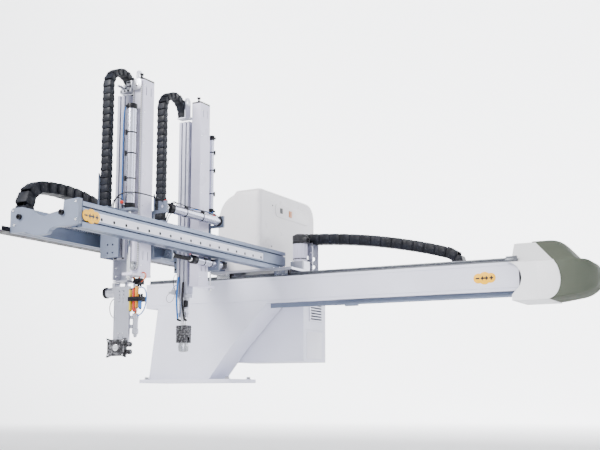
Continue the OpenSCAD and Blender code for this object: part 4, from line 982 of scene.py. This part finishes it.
class MANIPULATOR_OT_arm_fittings(Operator):
    """Adds the brackets, knobs, guide plates and screws of the two arms"""
    bl_idname = "manipulator.arm_fittings"
    bl_label = "Arm fittings"

    def execute(self, context):
        stage = Piece("main_top_stop")
        stage.blocks((362, -1268, 1442, 431, -1226, 1462, 0.0015),
            (398, -1262, 1462, 431, -1216, 1506, 0.002), (364, -1262, 1462, 378, -1232, 1490, 0.002))
        stage.rod(mm(372, -1296, 1476), mm(372, -1262, 1476), 0.006)
        stage.rod(mm(384, -1262, 1480), mm(384, -1212, 1480), 0.009)
        stage.finish("plate", "main_stage")
        screws = Piece("main_top_screws")
        for x, z in ((370, 1452), (392, 1452), (414, 1452), (408, 1476), (422, 1476), (408, 1496),
                (422, 1496)):
            screws.screw(mm(x, -1267.5 if z < 1460 else -1261.5, z), FRONT, 0.0045)
        screws.finish("black", "main_stage")
        cover = Piece("main_pulley_guard")
        cover.prism(rounded_rectangle(432, 1452, 488, 1512, 22, 6), -1257.9, -1256.2, "Y",
                    0.4, Matrix.Scale(MM, 4))
        cover.finish("plate", "main_stage")
        axle = Piece("main_pulley_nuts")
        for z in (560, 1478):
            axle.lathe(mm(460, -1258.1 if z > 1000 else -1262, z), mm(460, -1256, z),
                ((0, 0.007), (0.2, 0.0085), (1, 0.0085)), 6)
        axle.finish("rod", "main_stage")
        for arm, y, top, y_end, z_end in (("main", -1371, 985, -1187, 1530), ("sub", -920, 960, -752, 1543)):
            knob = Piece(arm + "_chain_knob")
            knob.lathe(mm(366, y + 34, 838), mm(366, y + 34, top - 40), ((0, 0.0035), (1, 0.0035)), 12)
            knob.finish("rod", arm + "_kick")
            cap = Piece(arm + "_knob_cap")
            cap.lathe(mm(366, y + 34, top - 42), mm(366, y + 34, top - 20),
                ((0, 0.005), (0.15, 0.0095), (0.75, 0.0095), (1, 0.006)), 20)
            cap.finish("red" if arm == "main" else "black", arm + "_kick")
            plate = Piece(arm + "_chain_guide")
            plate.prism(rounded_outline([(y - 24, 838), (y - 24, top + 25), (y - 15, top + 25), (y + 19, 880),
                (y + 19, 838)], 4, 3), 344.2, 346, "X", 0.4, Matrix.Scale(MM, 4))
            plate.finish("rail", arm + "_kick")
            screw_set(arm + "_chain_end_clamp", "rod", arm + "_stage",
                      ((406.2,), (y_end + 12, y_end + 25, y_end + 38), (z_end,), RIGHT, 0.0045))
        for arm, y in (("main", -1230), ("sub", -714)):
            screw_set(arm + "_column_screws", "rod", arm + "_stage",
                      ((490,), (y,), (560, 700, 860, 1020, 1180, 1340, 1480), RIGHT, 0.003, 0.0015))
        for arm, y in (("main", -1137), ("sub", -621)):
            body = arm + "_kick"
            screw_set(arm + "_carriage_screws", "black", body,
                      ((262, 280), (y + 0.5,), (620, 660, 700, 790, 830), FRONT, 0.0055),
                      ((290.2,), (y - 14,), (640, 700, 760, 820), LEFT, 0.0055))
            buffers = Piece(arm + "_shock_absorbers")
            for x in (252, 500):
                buffers.lathe(mm(x, y - 62, 712), mm(x, y - 34, 712),
                    ((0, 0.004), (0.1, 0.0065), (0.35, 0.0065), (0.4, 0.009), (1, 0.009)), 20)
            buffers.finish("black", body)
        for x, y, body in ((455, -1284, "main_stage"), (470, -582, "sub_stage")):
            lock = Piece(body + "_foot_nut")
            lock.lathe(mm(x, y, 494), mm(x, y, 508), ((0, 0.009), (0.1, 0.0105), (0.9, 0.0105), (1, 0.009)),
                6)
            lock.lathe(mm(x, y, 486), mm(x, y, 508), ((0, 0.004), (0.1, 0.005), (1, 0.005)), 14)
            lock.finish("rod", body)
        return {"FINISHED"}


def bowed(a, b, out, count=8):
    """The route of a short hose, as the solids have it"""
    a, b, out = Vector(a), Vector(b), Vector(out)
    return [tuple(a + (b - a) * (i / count) + out * sin(pi * i / count)) for i in range(count + 1)]


class MANIPULATOR_OT_wrist(Operator):
    """Adds the flip actuator, the valves, the small cylinder and the hoses of the wrist"""
    bl_idname = "manipulator.wrist"
    bl_label = "Wrist"

    def execute(self, context):
        y, z = -1240, 432
        body = Piece("flip_actuator_body")
        body.lathe(mm(294, y, z), mm(362, y, z), ((0, 0.0225), (0.05, 0.024), (0.30, 0.024), (0.33, 0.0228),
            (0.37, 0.0228), (0.40, 0.024), (0.96, 0.024), (1, 0.022)), 40)
        body.block(mm(340, -1262, 440), mm(357.6, -1218, 477.6), 0.002)
        body.block(mm(306, -1254, 408), mm(330, -1226, 456), 0.002)
        body.finish("plate", "main_end", replaces=("flip_actuator",))
        cap = Piece("flip_actuator_cap")
        cap.lathe(mm(280, y, z), mm(297, y, z), ((0, 0.016), (0.06, 0.024), (0.2, 0.0275), (0.9, 0.028),
            (1, 0.026)), 40)
        for a in range(45, 360, 90):
            cap.screw(mm(282, y + 20 * cos(radians(a)), z + 20 * sin(radians(a))), LEFT, 0.003, 0.002)
        cap.finish("black", "main_end")
        screw_set("wrist_bolts", "black", "main_end", ((362, 372, 412, 418), (-1276.2,), (596,), FRONT, 0.004,
            0.0035), ((458.4,), (y - 10.8, y + 10.8), (z - 10.8, z + 10.8), RIGHT, 0.003, 0.002))
        screw_set("flip_arm_bolts", "rod", "flip", ((398, 424), (-1275.2,), (182,), FRONT, 0.0055, 0.004),
                  ((398, 424), (-1275.2,), (226,), FRONT, 0.0045, 0.003))
        valves = Piece("flip_valve_block")
        valves.block(mm(457, -1262, 378), mm(530, -1236, 404), 0.002)
        fitting = ((0, 0.0058), (0.7, 0.0058), (1, 0.0045))
        for x, z0, z1 in ((500, 404, 418), (515, 404, 418), (464, 404, 412), (464, 378, 369), (474, 404, 412),
                (474, 378, 369), (484, 404, 412), (484, 378, 369)):
            valves.lathe(mm(x, -1249, z0), mm(x, -1249, z1), fitting, 16)
        coils = {"yellow": ((457, 467, 394, 438), (458, 468, 334, 388)),
            "red": ((480, 491, 394, 442), (481, 493, 332, 388)), "amber": ((494, 506, 394, 452),
            (496, 506, 348, 388)), "blue": ((517, 526, 344, 388),)}
        for colour, spots in coils.items():
            coil = Piece("valve_coils_" + colour)
            for x0, x1, z0, z1 in spots:
                coil.block(mm(x0, -1279, z0), mm(x1, -1261, z1), 0.0028)
                outer = z1 if z1 > 391 else z0
                valves.block(mm(x0 + 1.5, -1277, outer - 4), mm(x1 - 1.5, -1263, outer + 5), 0.0015)
            coil.finish(colour, "flip")
        valves.block(mm(455, -1284, 380), mm(532, -1262, 402), 0.002)
        valves.finish("black", "flip")
        small = Piece("flip_small_cylinder")
        small.lathe(mm(480, -1250, 222), mm(480, -1250, 322), ((0, 0.013), (0.04, 0.016), (0.24, 0.016),
            (0.26, 0.0135), (0.74, 0.0135), (0.76, 0.016), (0.96, 0.016), (1, 0.013)), 32)
        small.lathe(mm(480, -1250, 206), mm(480, -1250, 224), ((0, 0.006), (0.4, 0.0095), (1, 0.0095)), 6)
        small.blocks((452, -1264, 250, 470, -1240, 268, 0.0015), (452, -1264, 296, 470, -1240, 312, 0.0015),
                     (457, -1262, 340, 470, -1250, 380, 0.0015))
        small.finish("plate", "flip")
        knobs = Piece("chuck_knobs")
        for kz in (135, 171):
            ribs = [(0, 0.009)]
            for k in range(6):
                ribs += [(0.08 + k * 0.15, 0.0122), (0.16 + k * 0.15, 0.0122), (0.17 + k * 0.15, 0.0108),
                         (0.22 + k * 0.15, 0.0108)]
            knobs.lathe(mm(452, -1286, kz), mm(486, -1286, kz), ribs + [(1, 0.008)], 24)
        knobs.finish("chuck", "flip")
        pins = Piece("chuck_pins")
        for dx in (-44, 44):
            for dz in (-34, 34):
                pins.screw(mm(410 + dx, -1311, 155 + dz), FRONT, 0.0045, 0.003)
        pins.lathe(mm(410, -1311.4, 155), mm(410, -1313.5, 155), ((0, 0.016), (0.6, 0.016), (1, 0.014),
            (1, 0.009), (0.2, 0.009), (0.2, 0.0005)), 28)
        pins.finish("rod", "flip")
        for i, colour in enumerate(("red", "amber")):
            hose(f"wrist_hose_{colour}", bowed((460 + 8 * i, -1196.6, 478), (386 + 12 * i, -1210.6, 604),
                (-50, 20, 0)), 0.003, colour, "main_end", ("wrist_hoses",))
        for i, colour in enumerate(("amber", "red")):
            x, y = 468 + 12 * i, -1214 - 8 * i
            hose(f"manifold_loop_{colour}", [(x, y - 2, 496), (x + 1, y - 1, 509), (x + 7, y, 522),
                (x + 20, y + 1, 528), (x + 33, y, 522), (x + 39, y - 1, 509), (x + 34 + i, y - 3, 495),
                (x + 26 - 3 * i, y - 4, 486), (488, -1218 - 6 * i, 480)], 0.002, colour, "main_end")
        for x, colour in ((464, "yellow"), (474, "red"), (483, "amber")):
            end = 480 + (x - 482) * 0.3
            hose(f"flip_hose_{colour}", [(x + (end - x) * k / 8 + 11 * sin(pi * k / 8) ** 2,
                -1249 - 13 * k / 8, 374 - 74 * k / 8) for k in range(9)], 0.002, colour, "flip")
        hose("flip_hose_blue", [(474, -1249, 408), (476, -1248, 425), (484, -1247, 440), (498, -1247, 449),
            (514, -1248, 450), (529, -1249, 443), (539, -1250, 428), (543, -1250, 408), (543, -1251, 385),
            (540, -1252, 362), (533, -1253, 341), (521, -1254, 324), (505, -1254, 313), (488, -1253, 308)],
            0.003, "blue", "flip")
        hose("flip_sensor_cable", [(368, -1268, 398), (352, -1270, 393), (339, -1271, 372), (336, -1271, 345),
             (343, -1270, 320), (356, -1268, 306), (370, -1266, 302)], 0.002, "hose", "flip")
        return {"FINISHED"}


class MANIPULATOR_OT_sprue_gripper(Operator):
    """Adds the sprue gripper's cylinder, rods and jaw block, and its tubes"""
    bl_idname = "manipulator.sprue_gripper"
    bl_label = "Sprue gripper"

    def execute(self, context):
        mount = Piece("sprue_mount")
        mount.blocks((363, -732, 432, 419, -702, 470, 0.0015), (367, -730, 342, 415, -704, 432, 0.004),
                     (365, -731, 356, 417, -703, 366, 0.001), (350, -741, 448, 431, -697, 466, 0.002),
                     (398, -742, 372, 416, -729, 396, 0.002), (300, -726, 474, 356, -712, 486, 0.0015),
                     (318, -734, 468, 344, -704, 494, 0.002))
        mount.finish("plate", "sub_end", replaces=("sprue_gripper_body",))
        rods = Piece("sprue_rods")
        for x in (377, 405):
            rods.rod(mm(x, -717, 296), mm(x, -717, 346), 0.0045)
        rods.rod(mm(391, -717, 296), mm(391, -717, 346), 0.0065)
        rods.rod(mm(292, -719, 480), mm(302, -719, 480), 0.005)
        for x in (371, 411):
            for z in (444, 460):
                rods.screw(mm(x, -732, z), FRONT, 0.0038)
        for x in (376, 406):
            rods.screw(mm(x, -730, 412), FRONT, 0.003)
        rods.finish("rod", "sub_end")
        block = Piece("sprue_jaw_block")
        block.blocks((358, -738, 236, 424, -690, 299, 0.003), (358, -738, 205, 424, -724.4, 237, 0.002),
                     (358, -703.6, 205, 424, -690, 237, 0.002))
        for z in (250, 262, 274, 286):
            block.block(mm(356.8, -739.2, z), mm(425.2, -688.8, z + 5), 0.001)
        block.finish("chuck", "sub_end")
        caps = Piece("sprue_ports")
        for x, z in ((372, 330), (414, 330)):
            caps.lathe(mm(x, -722, z - 4), mm(x, -746, z), ((0, 0.005), (0.5, 0.0062), (0.9, 0.0062),
                (1, 0.005)), 16)
        for z in (520, 580):
            caps.lathe(mm(356, -715, z), mm(346, -715, z), ((0, 0.0065), (0.7, 0.0065), (1, 0.005)), 16)
        caps.block(mm(408, -745, 396), mm(424, -722, 432), 0.002)
        caps.finish("black", "sub_end")
        for i, colour in enumerate(("blue", "hose")):
            hose(f"sprue_tube_{colour}", bowed((366 + 42 * i, -735.3, 330),
                (370 + 30 * i, -739.3, 560 - 30 * i), (0, -14, 0)), 0.005, colour, "sub_end", ("sub_hoses",))
        hose("sprue_side_tube", [(350, -715, 580), (341, -716, 580), (331, -717, 575), (324, -718, 565),
            (321, -719, 550), (322, -720, 532), (326, -720, 514), (330, -720, 500), (331, -719, 490)], 0.002,
            "hose", "sub_end")
        hose("sprue_side_tube_blue", [(350, -715, 520), (342, -718, 519.5), (334, -722, 515),
            (328, -725, 507), (324, -727, 497), (322, -726, 486), (321, -722, 474)], 0.002, "blue", "sub_end")
        hose("sprue_sensor_wire", [(302, -722, 476), (292, -726, 470), (284, -728, 456), (284, -728, 440),
            (293, -726, 428), (306, -722, 427), (318, -718, 438), (326, -716, 456), (330, -716, 470)], 0.0012,
            "hose", "sub_end")
        return {"FINISHED"}


class MANIPULATOR_OT_carriage_details(Operator):
    """Adds the carriages' air tubes, the traverse carriage's seals and screws, and the motor's fittings"""
    bl_idname = "manipulator.carriage_details"
    bl_label = "Carriage details"

    def execute(self, context):
        seals = Piece("guide_block_seals")
        for x in (200, 600):
            for y in (-86, 56):
                for end in (x - 3.2, x + 90.2):
                    seals.blocks((end, y - 11, 625, end + 3, y - 1.5, 650, 0.0005),
                        (end, y + 21.5, 625, end + 3, y + 31, 650, 0.0005),
                        (end, y - 11, 641, end + 3, y + 31, 650, 0.0005))
        seals.finish("black", "carriage")
        screw_set("carriage_plate_screws", "rod", "carriage",
                  ((600, 640, 680, 716), (-108, -88), (665.5,), UP, 0.0055, 0.004),
                  ((592, 700), (92, 188), (665.5,), UP, 0.0045, 0.0035),
                  ((600, 704), (216, 264), (671.5,), UP, 0.0045, 0.0035))
        motor = Piece("motor_details")
        motor.lathe(mm(645, 140, 888), mm(645, 140, 897), ((0, 0.033), (0.5, 0.033), (1, 0.030), (1, 0.024),
            (0.6, 0.022), (0.6, 0.010), (1, 0.009), (1, 0.0005)), 40)
        motor.lathe(mm(645, 140, 742), mm(645, 140, 748), ((0, 0.0435), (0.2, 0.0445), (0.8, 0.0445),
            (1, 0.0435)), 40)
        motor.lathe(mm(645, 140, 838), mm(645, 140, 890), ((0, 0.0455), (0.08, 0.0475), (0.3, 0.0475),
            (0.34, 0.046), (0.4, 0.046), (0.44, 0.0475), (0.92, 0.0475), (1, 0.044)), 40)
        motor.block(mm(664, 108, 840), mm(704, 148, 874), 0.003)
        for z in (848, 864):
            motor.lathe(mm(704, 128, z), mm(716, 128, z), ((0, 0.006), (0.3, 0.0072), (0.8, 0.0072),
                (1, 0.005)), 18)
        motor.finish("motor", "carriage")
        screw_set("gearbox_screws", "rod", "carriage", ((606, 684), (101, 179), (727.5,), UP, 0.005, 0.005))
        screw_set("chain_bracket_bolts", "rod", "carriage",
                  ((636, 690), (200.5,), (690, 730, 790, 830), FRONT, 0.005, 0.0035))
        box = Piece("control_box_door")
        box.prism(rounded_rectangle(0.150, 0.145, 0.345, 0.308, 0.006, 3), 0.6825, 0.6850, "X", 0.0008)
        for z0, z1 in ((0.328, 0.535), (0.140, 0.310)):
            box.prism(rounded_rectangle(0.196, z0, 0.660, z1, 0.006, 3), 0.4095, 0.4125, "Y", 0.0008)
        box.finish("strip", "base")
        screw_set("control_box_locks", "black", "base", ((240, 610), (412,), (430, 225), BACK, 0.010, 0.005))
        hose("main_lift_feed", [(394, -1346, 838), (395, -1345, 853), (398, -1343, 869), (404, -1336, 884),
            (415, -1327, 891), (425, -1317, 887), (433, -1310, 876), (437, -1306, 860)], 0.002, "hose",
            "main_kick")
        hose("main_link_feed", [(400, -1344, 838), (404, -1340, 872), (424, -1334, 900), (456, -1328, 912),
            (490, -1312, 914), (515, -1270, 912), (532, -1210, 908), (542, -1160, 900), (545, -1134, 893)],
            0.003, "hose", "main_kick")
        hose("sub_link_feed", [(396, -900, 838), (400, -896, 872), (418, -892, 898), (450, -900, 912),
            (488, -930, 916), (520, -980, 914), (545, -1035, 908), (556, -1062, 900), (558, -1075, 892)],
            0.003, "hose", "sub_kick")
        hose("sub_lift_feed", [(400, -894, 838), (406, -884, 874), (424, -860, 900), (452, -820, 912),
            (490, -780, 915), (512, -730, 915), (518, -680, 914), (514, -640, 914), (506, -610, 920),
            (490, -592, 930), (480, -584, 938)], 0.0025, "blue", "sub_kick")
        return {"FINISHED"}


OPERATORS = (MANIPULATOR_OT_stage, MANIPULATOR_OT_finishes, MANIPULATOR_OT_cable_chains,
    MANIPULATOR_OT_carriage_cover, MANIPULATOR_OT_end_nose, MANIPULATOR_OT_frame_details,
    MANIPULATOR_OT_cylinders, MANIPULATOR_OT_arm_fittings, MANIPULATOR_OT_wrist, MANIPULATOR_OT_sprue_gripper,
    MANIPULATOR_OT_carriage_details)


class MANIPULATOR_PT_panel(Panel):
    """Lists the steps in the sidebar"""
    bl_idname = "MANIPULATOR_PT_panel"
    bl_label = "Manipulator"
    bl_space_type = "VIEW_3D"
    bl_region_type = "UI"
    bl_category = "Manipulator"

    def draw(self, context):
        for operator in OPERATORS:
            self.layout.operator(operator.bl_idname)
        for group in (context.scene.manipulator_sizes, context.scene.manipulator_colours):
            for key in group.__annotations__:
                self.layout.prop(group, key)


CLASSES = (ManipulatorSizes, ManipulatorColours, *OPERATORS, MANIPULATOR_PT_panel)


def register():
    for item in CLASSES:
        bpy.utils.register_class(item)
    bpy.types.Scene.manipulator_sizes = PointerProperty(type=ManipulatorSizes)
    bpy.types.Scene.manipulator_colours = PointerProperty(type=ManipulatorColours)


def unregister():
    del bpy.types.Scene.manipulator_colours
    del bpy.types.Scene.manipulator_sizes
    for item in reversed(CLASSES):
        bpy.utils.unregister_class(item)


def main():
    register()
    for operator in OPERATORS:
        group, name = operator.bl_idname.split(".")
        getattr(getattr(bpy.ops, group), name)()


if __name__ == "__main__":
    main()
